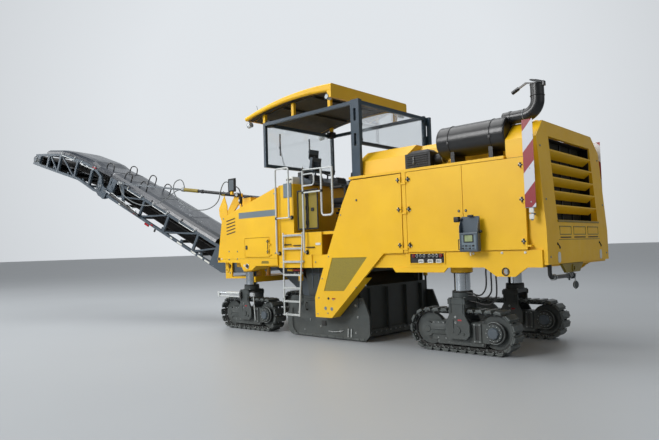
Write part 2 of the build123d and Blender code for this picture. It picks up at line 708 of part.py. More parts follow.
# ---- rear enclosure ----
def rear_enclosure():
    """The engine bay: posts, bulkheads, roof and raised hood round the side doors' openings."""
    top = DOOR_Z1 + ROOF_THICK + DOOR_GAP
    z0 = CHASSIS_Z1 + SEAT_GAP
    pieces = []
    roof = block(ENCLOSURE_X0 + 280, HOOD_END_X, -BODY_HALF, BODY_HALF, DOOR_Z1 + DOOR_GAP, top)
    pieces.append(roof)
    pieces.append(block(ENCLOSURE_X1 - 40, ENCLOSURE_X1, -FRAME_Y, FRAME_Y, z0, top))
    for side in (1, -1):
        y0, y1 = sorted((side * (FRAME_Y - FRAME_BAR), side * FRAME_Y))
        for x0, x1 in ((DOOR_MEET_X - 40, DOOR_MEET_X + 40), (POST_X0 - 30, POST_X1 + 30), (ENCLOSURE_X0 + 280, ENCLOSURE_X0 + 330)):
            pieces.append(block(x0, x1, y0, y1, z0, top - 1))
        pieces.append(block(ENCLOSURE_X0 + 280, ENCLOSURE_X1, y0, y1, z0, z0 + 50))
        pieces.append(block(ENCLOSURE_X0 + 280, ENCLOSURE_X1, y0, y1, DOOR_Z1 - 50, top - 1))
        y0, y1 = sorted((side * (FRAME_Y - 1), side * BODY_HALF))
        pieces.append(block(POST_X0 + DOOR_GAP, POST_X1 - DOOR_GAP, y0, y1, z0, top - 1))
    hood = cross_prism(
        (
            (-HOOD_HALF_RIGHT, top - 1),
            (HOOD_HALF_LEFT, top - 1),
            (HOOD_HALF_LEFT - 60, HOOD_Z1 - 80),
            (HOOD_HALF_LEFT - 160, HOOD_Z1),
            (-HOOD_HALF_RIGHT + 160, HOOD_Z1),
            (-HOOD_HALF_RIGHT + 60, HOOD_Z1 - 80),
        ),
        HOOD_X0,
        HOOD_FRONT_X + 10,
    )
    front = cross_prism(
        (
            (-1032.0, top - 1),
            (1032.0, top - 1),
            (1000.0, HOOD_Z1 - 190),
            (720.0, HOOD_Z1),
            (-720.0, HOOD_Z1),
            (-1000.0, HOOD_Z1 - 190),
        ),
        HOOD_FRONT_X,
        HOOD_END_X,
    )
    pieces += [hood, front]
    for side in (1, -1):
        pieces += hinge_seats(POST_X0, side, -1, DOOR_HINGES, BODY_HALF)
        pieces += hinge_seats(POST_X1 + DOOR_GAP, side, 1, DOOR_HINGES, BODY_HALF)
    return join(pieces)


def engine_block():
    """The engine and its pump drive, as one plain mass on the rails."""
    return block(900.0, 2700.0, -ENGINE_HALF, ENGINE_HALF, CHASSIS_Z1 + SEAT_GAP, 2500.0)


def radiator_cowl():
    """The tall cowl round the radiator: chamfered shell with louvres across its rear face."""
    rear = (
        (-COWL_HALF, COWL_Z0),
        (COWL_HALF, COWL_Z0),
        (COWL_HALF, COWL_SHOULDER_Z),
        (COWL_TOP_HALF, COWL_Z1),
        (-COWL_TOP_HALF, COWL_Z1),
        (-COWL_HALF, COWL_SHOULDER_Z),
    )
    shell = cross_prism(rear, 0, COWL_DEPTH)
    inner = cross_prism(
        (
            (-COWL_HALF + COWL_WALL, COWL_Z0 + COWL_WALL),
            (COWL_HALF - COWL_WALL, COWL_Z0 + COWL_WALL),
            (COWL_HALF - COWL_WALL, COWL_SHOULDER_Z - 10),
            (COWL_TOP_HALF - COWL_WALL, COWL_Z1 - COWL_WALL),
            (-COWL_TOP_HALF + COWL_WALL, COWL_Z1 - COWL_WALL),
            (-COWL_HALF + COWL_WALL, COWL_SHOULDER_Z - 10),
        ),
        COWL_WALL + COWL_LEAN,
        COWL_DEPTH + 1,
    )
    lean = side_prism(((-10.0, COWL_Z0 - 1), (0.0, COWL_Z0 - 1), (0.0, 1700.0), (COWL_LEAN, COWL_Z1 + 1),
                       (-10.0, COWL_Z1 + 1)), -COWL_HALF - 1, COWL_HALF + 1)
    mouth = block(-1, COWL_WALL + COWL_LEAN + 1, -LOUVRE_HALF, LOUVRE_HALF, LOUVRE_Z0, LOUVRE_Z1)
    notch = block(-1, COWL_DEPTH + 1, -RAIL_Y1 - 20, RAIL_Y1 + 20, COWL_Z0 - 1, CHASSIS_Z1 + SEAT_GAP)
    shell = shell.cut(inner, lean, mouth)
    shell = shell.cut(block(RAIL_X0 - SEAT_GAP, COWL_DEPTH + 1, -SILL_Y - 10, SILL_Y + 10, COWL_Z0 - 1, CHASSIS_Z1 + SEAT_GAP))
    pitch = (LOUVRE_Z1 - LOUVRE_Z0) / LOUVRE_COUNT
    slats = []
    for i in range(1, LOUVRE_COUNT):
        z = LOUVRE_Z0 + i * pitch
        x = COWL_LEAN * max(0.0, (z - 1700.0) / (COWL_Z1 - 1700.0))
        slats.append(side_prism(((x, z), (x, z + 14), (x + 118, z - 72), (x + 118, z - 86)), -LOUVRE_HALF - 1,
                                LOUVRE_HALF + 1))
    seats_here = []
    for side in (1, -1):
        seats_here += hinge_seats(ENCLOSURE_X0 + DOOR_GAP, side, 1, DOOR_HINGES, COWL_HALF)
    return join([shell] + slats + seats_here)


# ---- doors ----
def door_panel(x0, x1, side):
    """A side door: the whole wall, with its hinge barrels on the given edge."""
    y0, y1 = sorted((side * (BODY_HALF - DOOR_THICK), side * BODY_HALF))
    return block(x0, x1, y0, y1, DOOR_Z0, DOOR_Z1)


def hinge_knuckles(x, side, heights):
    """Hinge barrels on a door's vertical hinge line, with their leaves on the door."""
    y = side * (BODY_HALF + HINGE_OUT)
    return [rod((x, y, z), (x, y, z + HINGE_LENGTH), HINGE_R) for z in heights]


def hinge_seats(x, side, toward, heights, face):
    """The fixed halves of hinges: a lug below each knuckle, on an arm from the face behind the hinge line."""
    pieces = []
    y = side * (BODY_HALF + HINGE_OUT)
    for z in heights:
        z0, z1 = z - HINGE_LUG, z - SEAT_GAP
        pieces.append(rod((x, y, z0), (x, y, z1), HINGE_R))
        x0, x1 = sorted((x, x - toward * 56))
        y0, y1 = sorted((side * (BODY_HALF + HINGE_OUT - 6), side * (BODY_HALF + HINGE_OUT + 6)))
        pieces.append(block(x0, x1, y0, y1, z0, z1))
        x0, x1 = sorted((x - toward * 16, x - toward * 56))
        y0, y1 = sorted((side * (face - 1), side * (BODY_HALF + HINGE_OUT + 6)))
        pieces.append(block(x0, x1, y0, y1, z0, z1))
    return pieces


DOOR_HINGES = (DOOR_Z0 + 60, (DOOR_Z0 + DOOR_Z1) / 2, DOOR_Z1 - 60 - HINGE_LENGTH)
HATCH_HINGES = (HATCH[2] + 50, HATCH[3] - 30 - HINGE_LENGTH)


def hinged_door(x0, x1, hinge_x, side):
    """A door with three knuckles, each on a leaf that reaches the door's face."""
    door = door_panel(x0, x1, side)
    heights = DOOR_HINGES
    inward = 1 if hinge_x <= x0 + 20 else -1
    pieces = [door] + hinge_knuckles(hinge_x, side, heights)
    for z in heights:
        a, b = sorted((hinge_x, hinge_x + inward * 50))
        y0, y1 = sorted((side * (BODY_HALF - 1), side * (BODY_HALF + HINGE_OUT)))
        pieces.append(block(a, b, y0, y1, z, z + HINGE_LENGTH))
    return join(pieces)


def belt_guard(side):
    """The guard over the drum's belt drive: a big hinged panel with a deep lower leg."""
    skin_y0, skin_y1 = sorted((side * (BODY_HALF - DOOR_THICK), side * BODY_HALF))
    x_shift = DOOR_GAP
    outline = [(x + (x_shift if x < 2200 else 0), z) for x, z in GUARD_OUTLINE]
    skin = side_prism(outline, skin_y0, skin_y1)
    return skin


def belt_guard_left():
    """The left guard, with the walls of its deep leg and the mesh window's recess."""
    skin = belt_guard(1)
    leg = ((3664.0, 395.0), (4037.0, 392.0), (4040.0, 728.0), (3890.0, 1076.0), (2950.0, 1066.0))
    depth_y = BODY_HALF - GUARD_DEPTH
    pod = side_prism(leg, depth_y, BODY_HALF - 1)
    hollow = side_prism(((3690.0, 425.0), (4007.0, 422.0), (4010.0, 722.0), (3870.0, 1046.0), (3020.0, 1036.0)),
                        depth_y + 20, BODY_HALF - DOOR_THICK)
    pod = pod.cut(hollow)
    hinge_x = POST_X1 + DOOR_GAP
    heights = DOOR_HINGES
    pieces = [skin, pod] + hinge_knuckles(hinge_x, 1, heights)
    for z in heights:
        pieces.append(block(hinge_x, hinge_x + 50, BODY_HALF - 1, BODY_HALF + HINGE_OUT, z, z + HINGE_LENGTH))
    mesh = side_prism(((3622.0, 1400.0), (2869.0, 1401.0), (3379.0, 848.0), (3831.0, 836.0)), BODY_HALF - 8, BODY_HALF + 1)
    return join(pieces).cut(mesh)


def panel_right():
    """The right middle door, above the chassis."""
    x0 = POST_X1 + DOOR_GAP
    outline = ((x0, DOOR_Z0), (x0, DOOR_Z1), (3158.0, DOOR_Z1), (3362.0, 2280.0), (3722.0, DOOR_Z0))
    skin = side_prism(outline, -BODY_HALF, -BODY_HALF + DOOR_THICK)
    heights = DOOR_HINGES
    pieces = [skin] + hinge_knuckles(x0, -1, heights)
    for z in heights:
        pieces.append(block(x0, x0 + 50, -BODY_HALF - HINGE_OUT, -BODY_HALF + 1, z, z + HINGE_LENGTH))
    return join(pieces)


# ---- front body ----
def front_top(x):
    """Height of the front body's sloping top at a distance along the machine."""
    (x0, z0), (x1, z1) = FRONT_OUTLINE[-1], FRONT_OUTLINE[-2]
    return z0 + (z1 - z0) * (x - x0) / (x1 - x0)


def front_body():
    """The front bodywork: two side tanks bridged by the sloping hood, open in the middle for the conveyors."""
    solid = slanted_prism(FRONT_OUTLINE, BODY_HALF)
    x0, x1, z0, z1 = HATCH
    low = CHASSIS_Z1
    tunnel = side_prism(
        (
            (FRONT_X0 - 1, 1100.0),
            (6900.0, 1100.0),
            (6900.0, 2250.0 - FRONT_WALL),
            (6423.0, 2290.0 - FRONT_WALL),
            (5600.0, 2290.0 - FRONT_WALL),
            (FRONT_X0 - 1, 1900.0),
        ),
        -TUNNEL_HALF,
        TUNNEL_HALF,
    )
    solid = solid.cut(tunnel)
    for side in (1, -1):
        rail = sorted((side * (RAIL_Y0 - SEAT_GAP), side * (RAIL_Y1 + SEAT_GAP)))
        solid = solid.cut(block(FRONT_X0 - 1, RAIL_X1 + SEAT_GAP, rail[0], rail[1], 1100.0, CHASSIS_Z1 + SEAT_GAP))
        y = side * CRAWLER_Y
        guide = rod((FRONT_CRAWLER_X, y, 1100.0), (FRONT_CRAWLER_X, y, GUIDE_Z1 + SEAT_GAP),
                    COLUMN_R + GUIDE_WALL + SEAT_GAP)
        solid = solid.cut(guide)
        y0, y1 = sorted((side * (BODY_HALF - DOOR_THICK - HATCH_RECESS), side * (BODY_HALF + 1)))
        solid = solid.cut(block(x0 - DOOR_GAP, x1 + DOOR_GAP, y0, y1, z0 - DOOR_GAP, z1 + DOOR_GAP))
    lugs = hinge_seats(x0, 1, 1, HATCH_HINGES, BODY_HALF) + hinge_seats(x0, -1, 1, HATCH_HINGES, BODY_HALF)
    fin = ((6480.0, 2255.0), (6560.0, 2200.0), (6625.0, 2090.0), (6740.0, 2300.0), (6752.0, 2440.0), (6575.0, 2685.0),
           (6490.0, 2480.0))
    cover = ((6120.0, 2300.0), (6480.0, 2240.0), (6480.0, 2560.0), (6400.0, 2640.0), (6120.0, 2640.0))
    for side in (1, -1):
        y0, y1 = sorted((side * (BODY_HALF - 60), side * (BODY_HALF - 44)))
        lugs.append(side_prism(fin, y0, y1))
        y0, y1 = sorted((side * 710.0, side * 890.0))
        lugs.append(side_prism(cover, y0, y1))
    return join([solid] + lugs)


def hatch(side):
    """A small flap low on the front body, hinged at its rear edge."""
    x0, x1, z0, z1 = HATCH
    y0, y1 = sorted((side * (BODY_HALF - DOOR_THICK), side * BODY_HALF))
    pieces = [block(x0, x1, y0, y1, z0, z1)]
    y = side * (BODY_HALF + HINGE_OUT)
    for z in HATCH_HINGES:
        pieces.append(rod((x0, y, z), (x0, y, z + HINGE_LENGTH), HINGE_R))
        a, b = sorted((side * (BODY_HALF - 1), side * (BODY_HALF + HINGE_OUT)))
        pieces.append(block(x0, x0 + 50, a, b, z, z + HINGE_LENGTH))
    return join(pieces)


# ---- platform ----
def operator_platform():
    """The driver's deck: a floor on cross plates, the cabinet under the console and the side skirts."""
    z0, z1 = PLATFORM_Z - PLATFORM_THICK, PLATFORM_Z
    front = FRONT_X0 - SEAT_GAP
    pieces = [block(PLATFORM_X0, front, -1180.0, 1180.0, z0, z1)]
    for x in (PLATFORM_X0, 4000.0, front - 80):
        pieces.append(block(x, x + 80, -1100.0, 1100.0, CHASSIS_Z1 + SEAT_GAP, z0 + 1))
    pieces.append(block(CABINET_X0, front, -1180.0, 1180.0, z1 - 1, CABINET_TOP))
    for side in (1, -1):
        y0, y1 = sorted((side * 1180.0, side * 1215.0))
        skirt = side_prism(((3880.0, 1270.0), (front, 1270.0), (front, 2700.0), (front - 60, CABINET_TOP),
                            (CABINET_X0, CABINET_TOP), (CABINET_X0, z1), (3880.0, z1)), y0, y1)
        pieces.append(skirt)
    body = join(pieces)
    for side in (1, -1):
        y0, y1 = sorted((side * 1100.0, side * 1230.0))
        body = body.cut(block(PLATFORM_X0 + 600, DECK_X1 + 20, y0, y1, 1200.0, CHASSIS_Z1 + SEAT_GAP))
    return body


def control_console():
    """The operator's console on the cabinet: a sloping desk with a lever and the display on its stand."""
    z = CABINET_TOP + SEAT_GAP
    desk = side_prism(((CABINET_X0 - 110, z), (4900.0, z), (4860.0, 2900.0), (4740.0, 2930.0), (CABINET_X0 - 110, 2800.0)),
                      -850.0, 850.0)
    stand = rod((4740.0, 420.0, 2900.0), (4740.0, 420.0, 3080.0), 18.0)
    screen = Pos(4735.0, 420.0, 3180.0) * Rot(0, -12, 0) * Box(60.0, 250.0, 250.0)
    visor = Pos(4760.0, 430.0, 3370.0) * Rot(0, -8, 0) * Box(16.0, 260.0, 180.0)
    lever = rod((4560.0, 700.0, 2820.0), (4530.0, 700.0, 3010.0), 14.0)
    knob = Pos(4528.0, 700.0, 3020.0) * Sphere(32.0)
    neck = rod((4738.0, 420.0, 3280.0), (4760.0, 428.0, 3340.0), 14.0)
    return join([desk, stand, screen, neck, visor, lever, knob])


def seats():
    """Two operator's seats, as plain cushions."""
    shapes = []
    for y in (620.0, -620.0):
        base = block(3560.0, 4020.0, y - 240, y + 240, 2330.0, 2450.0)
        back = side_prism(((3560.0, 2400.0), (3660.0, 2400.0), (3560.0, 3020.0), (3470.0, 3020.0)), y - 230, y + 230)
        shapes.append(base.fuse(back))
    return group(shapes)


def seat_stands():
    """The pedestals under the seats."""
    shapes = []
    for y in (620.0, -620.0):
        shapes.append(join([
            block(3600.0, 3980.0, y - 200, y + 200, 2290.0, 2330.0 - SEAT_GAP),
            rod((3790.0, y, PLATFORM_Z + SEAT_GAP), (3790.0, y, 2300.0), 70.0),
        ]))
    return group(shapes)


# ---- canopy ----
def roof_line(x0, z0, x1, z1, crown):
    """A bowed edge between two points in X and Z."""
    return ThreePointArc((x0, 0, z0), ((x0 + x1) / 2, 0, (z0 + z1) / 2 + crown), (x1, 0, z1))


def roof_slab(x0, top0, low0, x1, top1, low1, half):
    """A slab bowed along the machine, between two upright ends, over its half width."""
    edges = [
        roof_line(x0, top0, x1, top1, ROOF_CROWN),
        Line((x1, 0, top1), (x1, 0, low1)),
        roof_line(x1, low1, x0, low0, ROOF_CROWN),
        Line((x0, 0, low0), (x0, 0, top0)),
    ]
    face = Face(Wire(edges))
    return Pos(0, -half, 0) * extrude(face, amount=2 * half, dir=(0, 1, 0))


def canopy_roof():
    """The canopy's moulded shell: a crowned slab with a recessed underside and a deep rear skirt."""
    low = ROOF_REAR_Z - ROOF_SIDE_DEPTH
    shell = roof_slab(ROOF_REAR_X, ROOF_REAR_Z, low, ROOF_FRONT_X, ROOF_FRONT_Z, ROOF_FRONT_Z - ROOF_FRONT_DEPTH, ROOF_HALF)
    recess = roof_slab(ROOF_REAR_X + ROOF_SKIRT, low + 45, low - 60, ROOF_FRONT_X - ROOF_WALL, ROOF_FRONT_Z - 36,
                       ROOF_FRONT_Z - ROOF_FRONT_DEPTH - 60, ROOF_HALF - ROOF_WALL)
    shell = shell.cut(recess)
    long_edges = [e for e in shell.edges() if abs(abs(e.center().Y) - ROOF_HALF) < 1 and e.length > 2000
                  and e.center().Z > ROOF_FRONT_Z + 40]
    shell = fillet(long_edges, 34.0)
    skirt = side_prism(((ROOF_REAR_X, ROOF_REAR_Z - ROOF_REAR_DEPTH), (ROOF_REAR_X + ROOF_SKIRT - 40, ROOF_REAR_Z - ROOF_REAR_DEPTH),
                        (ROOF_REAR_X + ROOF_SKIRT, low + 20), (ROOF_REAR_X, low + 20)), -ROOF_HALF, ROOF_HALF)
    hangers = []
    for x in (ROOF_REAR_X + ROOF_SKIRT + 40, 4700.0, SCREEN_X):
        top = height_on(((ROOF_REAR_X, ROOF_REAR_Z), (ROOF_FRONT_X, ROOF_FRONT_Z)), x) - 30
        for side in (1, -1):
            y0, y1 = sorted((side * (SCREEN_HALF - POST_SIZE), side * SCREEN_HALF))
            hangers.append(block(x, x + POST_SIZE, y0, y1, RAIL_TOP + SEAT_GAP, top))
    return join([shell, skirt] + hangers)


def canopy_frame():
    """Slotted rear posts, the windscreen's and rear window's frames and the rails that carry the roof."""
    pieces = []
    s = POST_SIZE
    for side in (1, -1):
        y0, y1 = sorted((side * 1040.0, side * 1100.0))
        post = block(REAR_POST_X - 90, REAR_POST_X + 90, y0, y1, REAR_POST_Z0, RAIL_TOP - 20)
        for z in (3240.0, 3660.0):
            post = post.cut(block(REAR_POST_X - 25, REAR_POST_X + 25, y0 - 1, y1 + 1, z, z + 210))
        pieces.append(post)
        y0, y1 = sorted((side * (SCREEN_HALF - s), side * SCREEN_HALF))
        pieces.append(block(SCREEN_X, SCREEN_X + s, y0, y1, SCREEN_Z0, RAIL_TOP))
        pieces.append(block(REAR_POST_X - 30, SCREEN_X + s, y0, y1, RAIL_TOP - s, RAIL_TOP))
        pieces.append(block(REAR_POST_X - 30, REAR_POST_X + 30, y0, y1, 3280.0, RAIL_TOP))
    pieces.append(block(SCREEN_X, SCREEN_X + s, -SCREEN_HALF, SCREEN_HALF, SCREEN_Z0, SCREEN_Z0 + s))
    pieces.append(block(SCREEN_X, SCREEN_X + s, -SCREEN_HALF, SCREEN_HALF, RAIL_TOP - s, RAIL_TOP))
    pieces.append(block(REAR_POST_X - 30, REAR_POST_X + 30, -1060, 1060, RAIL_TOP - 80, RAIL_TOP - 20))
    pieces.append(block(REAR_POST_X - 30, REAR_POST_X + 30, -1060, 1060, 3280.0, 3330.0))
    return join(pieces)


def canopy_glass():
    """The windscreen and the rear window."""
    s = POST_SIZE
    half = SCREEN_HALF - s
    screen = block(SCREEN_X + 26, SCREEN_X + 34, -half, half, SCREEN_Z0 + s, RAIL_TOP - s)
    rear = block(REAR_POST_X - 4, REAR_POST_X + 4, -half, half, 3330.0, RAIL_TOP - 80)
    return group([screen, rear])


# ---- exhaust and intake ----
def exhaust_system():
    """The muffler on its saddles, its elbow and stack, and the rain flap with its counterweight arm."""
    body = rod((MUFFLER_X0, MUFFLER_Y, MUFFLER_Z), (MUFFLER_X1, MUFFLER_Y, MUFFLER_Z), MUFFLER_R)
    body = fillet(body.edges(), 22.0)
    pieces = [body]
    path = [(MUFFLER_X0 + 90, MUFFLER_Y, STACK_Z), (STACK_X, MUFFLER_Y, STACK_Z), (STACK_X, MUFFLER_Y, STACK_TOP)]
    pieces.append(bent_bar(path, STACK_R, 190.0))
    pieces.append(rod((MUFFLER_X0 - 26, MUFFLER_Y, STACK_Z), (MUFFLER_X0 + 4, MUFFLER_Y, STACK_Z), STACK_R + 7))
    for x in (MUFFLER_X0 + 200, MUFFLER_X1 - 260):
        pieces.append(block(x, x + 60, MUFFLER_Y - 160, MUFFLER_Y + 160, DOOR_Z1 + DOOR_GAP + ROOF_THICK + SEAT_GAP, MUFFLER_Z - 120))
    stack = join(pieces)
    stack = stack.cut(rod((STACK_X, MUFFLER_Y, STACK_TOP - 160), (STACK_X, MUFFLER_Y, STACK_TOP + 1), STACK_R - 6))
    hinge_x = STACK_X - STACK_R
    lug = block(hinge_x - 16, hinge_x + 10, MUFFLER_Y - 34, MUFFLER_Y + 34, STACK_TOP - 40, STACK_TOP + 20)
    flap = Pos(hinge_x - 6, MUFFLER_Y, STACK_TOP + 14) * Rot(0, -16, 0) * Pos(STACK_R + 6, 0, 0) * Cylinder(STACK_R + 10, 6)
    arm = side_prism(((hinge_x - 4, STACK_TOP + 2), (STACK_X + 150, STACK_TOP + 50), (STACK_X + 330, STACK_TOP - 40),
                      (STACK_X + 322, STACK_TOP - 60), (STACK_X + 140, STACK_TOP + 28)), MUFFLER_Y - 12, MUFFLER_Y + 12)
    weight = rod((STACK_X + 250, MUFFLER_Y, STACK_TOP - 12), (STACK_X + 345, MUFFLER_Y, STACK_TOP - 60), 26.0)
    return join([stack, lug, flap, arm, weight])


def air_intake():
    """The intake housing and duct ahead of the muffler."""
    z0 = DOOR_Z1 + DOOR_GAP + ROOF_THICK + SEAT_GAP
    return join([block(1740.0, 2190.0, 760.0, 1080.0, z0, 2960.0), rod((1900.0, 700.5, 2850.0), (1900.0, 780.0, 2850.0), 90.0)])


# ---- ladders and rails ----
def ladder(side):
    """A ladder below the deck with its stringers and rungs."""
    y = side * 1262.0
    pieces = []
    for top_x, foot_x in ((4290.0, 4420.0), (4790.0, 4800.0)):
        pieces.append(rod((top_x, y, 1860.0), (foot_x, y, 380.0), 15.0))
    steps = 7
    for i in range(steps):
        z = 395.0 + i * 235.0
        t = (1860.0 - z) / 1480.0
        x0 = 4290.0 + 130.0 * t
        x1 = 4790.0 + 10.0 * t
        pieces.append(rod((x0, y, z), (x1, y, z), 14.0))
    for z, face in ((1330.0, SILL_Y), (1780.0, 1215.0)):
        y0, y1 = sorted((side * (face + SEAT_GAP), side * 1262.0))
        pieces.append(block(4300.0, 4330.0, y0, y1, z, z + 30))
        pieces.append(block(4775.0, 4800.0, y0, y1, z, z + 30))
    return join(pieces)


def ladders():
    """Both ladders."""
    return group([ladder(1), ladder(-1)])


def handrails():
    """The white tube rails beside the ladders and on the deck, one welded frame each side."""
    shapes = []
    for side in (1, -1):
        inner = side * (1215.0 + SEAT_GAP)
        y = side * 1292.0
        front = bent_bar([(4930.0, inner, 1490.0), (4930.0, y, 1490.0), (4930.0, y, 3030.0), (4590.0, y, 3030.0),
                          (4590.0, y, 2130.0), (4590.0, inner, 2130.0)], 17.0, 40.0, 10)
        mid = bent_bar([(4225.0, inner, 1500.0), (4225.0, y, 1500.0), (4225.0, y, 3000.0)], 17.0, 40.0, 10)
        handle = bent_bar([(4225.0, y, 2860.0), (3950.0, y, 2860.0), (3950.0, y, 2660.0), (4225.0, y, 2660.0)], 13.0, 60.0, 10)
        loop = bent_bar([(3530.0, y, 2930.0), (3530.0, y, 2120.0), (3780.0, y, 2120.0), (3780.0, y, 2930.0)], 17.0, 60.0, 10)
        bars = [rod((4930.0, y, 2130.0), (4590.0, y, 2130.0), 13.0), rod((4225.0, y, 2540.0), (3780.0, y, 2540.0), 13.0),
                rod((4225.0, y, 2945.0), (3520.0, y, 2915.0), 13.0)]
        shapes.append(join([front, mid, handle, loop] + bars))
    return group(shapes)


# ---- small fittings ----
def control_box():
    """The ground operator's control box on its bracket, carried by the rear left door."""
    box = block(850.0, 1130.0, BODY_HALF + 60, BODY_HALF + 150, 1450.0, 1711.0)
    arm = block(960.0, 1000.0, BODY_HALF + SEAT_GAP, BODY_HALF + 61, 1560.0, 1600.0)
    shade = block(850.0, 1130.0, BODY_HALF + 90, BODY_HALF + 150, 1710.0, 1930.0)
    return join([box, arm, shade])


def warning_boards():
    """The striped boards at the rear corners on their brackets."""
    shapes = []
    for side in (1, -1):
        y0, y1 = sorted((side * 1300.0, side * 1304.0))
        board = block(74.0, 215.0, y0, y1, 1996.0, 3124.0)
        y0, y1 = sorted((side * (COWL_HALF + SEAT_GAP), side * 1300.5))
        arms = [block(120.0, 150.0, y0, y1, z, z + 30) for z in (2050.0, 2480.0)]
        shapes.append(join([board] + arms))
    return group(shapes)


def work_lamps():
    """Round lamps under the canopy's corners: on brackets ahead of the screen, and behind the rear skirt's ends."""
    shapes = []
    under = height_on(((ROOF_REAR_X, ROOF_REAR_Z), (ROOF_FRONT_X, ROOF_FRONT_Z)), ROOF_FRONT_X - 20)
    for side in (1, -1):
        y = side * 1040.0
        z = under - 148.0
        shapes.append(join([
            rod((5860.0, y, z), (5940.0, y, z - 10), 52.0),
            block(5912.0, 5948.0, y - 20, y + 20, z + 20, ROOF_FRONT_Z - ROOF_FRONT_DEPTH - SEAT_GAP),
        ]))
        x = ROOF_REAR_X + ROOF_SKIRT
        low = ROOF_REAR_Z - ROOF_REAR_DEPTH
        y0, y1 = sorted((side * (ROOF_HALF - 96), side * (ROOF_HALF - 2)))
        drum = rod((x + 8, y0, low + 20), (x + 8, y1, low + 20), 50.0)
        clear = side_prism(((ROOF_REAR_X - 50, low - 100), (x - 40 + SEAT_GAP, low - 100), (x - 40 + SEAT_GAP, low), (x + SEAT_GAP, low + 120),
                            (ROOF_REAR_X - 50, low + 200)), y0 - 1, y1 + 1)
        shapes.append(drum.cut(clear))
    return group(shapes)


def hitch_bracket():
    """The towing plate under the cowl, with its pin hole."""
    plate = cross_prism(((HITCH_Y - 400, 1255.0), (HITCH_Y + 400, 1255.0), (HITCH_Y + 250, 1130.0), (HITCH_Y - 250, 1130.0)),
                        RAIL_X0 - SEAT_GAP - HITCH_THICK, RAIL_X0 - SEAT_GAP)
    boss = rod((RAIL_X0 - SEAT_GAP - HITCH_THICK - 12, HITCH_Y, HITCH_Z), (RAIL_X0 - SEAT_GAP - 1, HITCH_Y, HITCH_Z), HITCH_R + 22)
    return join([plate, boss]).cut(rod((0, HITCH_Y, HITCH_Z), (RAIL_X0, HITCH_Y, HITCH_Z), HITCH_R))


def water_pipe():
    """The filling pipe under the cowl: elbow, straight run, valve and hose coupling."""
    path = [(27.0, 1090.0, COWL_Z0 - SEAT_GAP), (27.0, 1090.0, 1096.0), (27.0, 330.0, 1086.0)]
    pieces = [bent_bar(path, 26.0, 70.0)]
    pieces.append(rod((27.0, 470.0, 1087.8), (27.0, 400.0, 1086.9), 36.0))
    pieces.append(rod((27.0, 350.0, 1086.2), (27.0, 318.0, 1085.8), 40.0))
    pieces.append(rod((27.0, 1000.0, 1095.0), (27.0, 975.0, 1094.6), 34.0))
    pieces.append(rod((27.0, 435.0, 1086.0), (27.0, 435.0, 1026.0), 12.0))
    return join(pieces)


# ---- discharge conveyor ----
def slewed(angle=0.0):
    """The frame of the slew yoke: X along the conveyor, Y to its left, Z up from the ground."""
    return Location((SLEW_X, 0, 0), (0, 0, SLEW_REST + angle))


def boom_line(s):
    """Height of the inner boom's bottom edge at a distance from the slew axis."""
    return BOOM_BOTTOM_Z + (s - BOOM_BOTTOM_S) * sin(radians(INNER_SLOPE)) / cos(radians(INNER_SLOPE))


FOLD_Z = BOOM_BOTTOM_Z + (FOLD_S - BOOM_BOTTOM_S) * sin(radians(INNER_SLOPE)) / cos(radians(INNER_SLOPE))


def inner_place():
    """The inner boom's own frame: X along its bottom chord, from the start of the slope."""
    return slewed() * Location((BOOM_BOTTOM_S, 0, BOOM_BOTTOM_Z), (0, -INNER_SLOPE, 0))


def outer_place():
    """The outer boom's own frame, from the fold."""
    return slewed() * Location((FOLD_S, 0, FOLD_Z), (0, -OUTER_SLOPE, 0))


FOLD_PIN_Z = FOLD_Z - FOLD_PIN_DROP
INNER_LENGTH = hypot(FOLD_S - BOOM_BOTTOM_S, FOLD_Z - BOOM_BOTTOM_Z)
INNER_BELT_LENGTH = INNER_LENGTH - 150.0


def bearing_plates(x, z):
    """Plates between the chords that carry a belt drum's shaft."""
    pieces = []
    for side in (1, -1):
        y0, y1 = sorted((side * (BOOM_HALF - CHORD), side * (BOOM_HALF - 4)))
        pieces.append(block(x - 70, x + 70, y0, y1, CHORD - 1, BOOM_DEPTH - CHORD + 1))
        pieces.append(rod((x, side * (BOOM_HALF - 5), z), (x, side * (BOOM_HALF + 3), z), 60.0))
    return pieces


def inner_lattice():
    """Two lattice sides with cross tubes, X along the inner boom's bottom chord."""
    end = INNER_LENGTH - FOLD_GAP
    stations = [INNER_START] + [INNER_LENGTH - back for back in INNER_UPRIGHTS] + [end - CHORD]
    pieces = []
    for side in (1, -1):
        y0, y1 = sorted((side * (BOOM_HALF - CHORD), side * BOOM_HALF))
        pieces.append(block(INNER_START, end, y0, y1, 0, CHORD))
        pieces.append(block(INNER_START, end, y0, y1, BOOM_DEPTH - CHORD, BOOM_DEPTH))
        for x in stations:
            pieces.append(block(x, x + CHORD, y0 + 5, y1 - 5, CHORD - 1, BOOM_DEPTH - CHORD + 1))
        for tail, head in zip(stations, stations[1:]):
            low, high = (head + CHORD / 2, CHORD / 2), (tail + CHORD / 2, BOOM_DEPTH - CHORD / 2)
            pieces.append(lattice_bar(low, high, 36.0, y0 + 12, y1 - 12))
    inner = BOOM_HALF - CHORD + 1
    for x in stations:
        pieces.append(block(x, x + CHORD, -inner, inner, 5, CHORD - 5))
    return join(pieces)


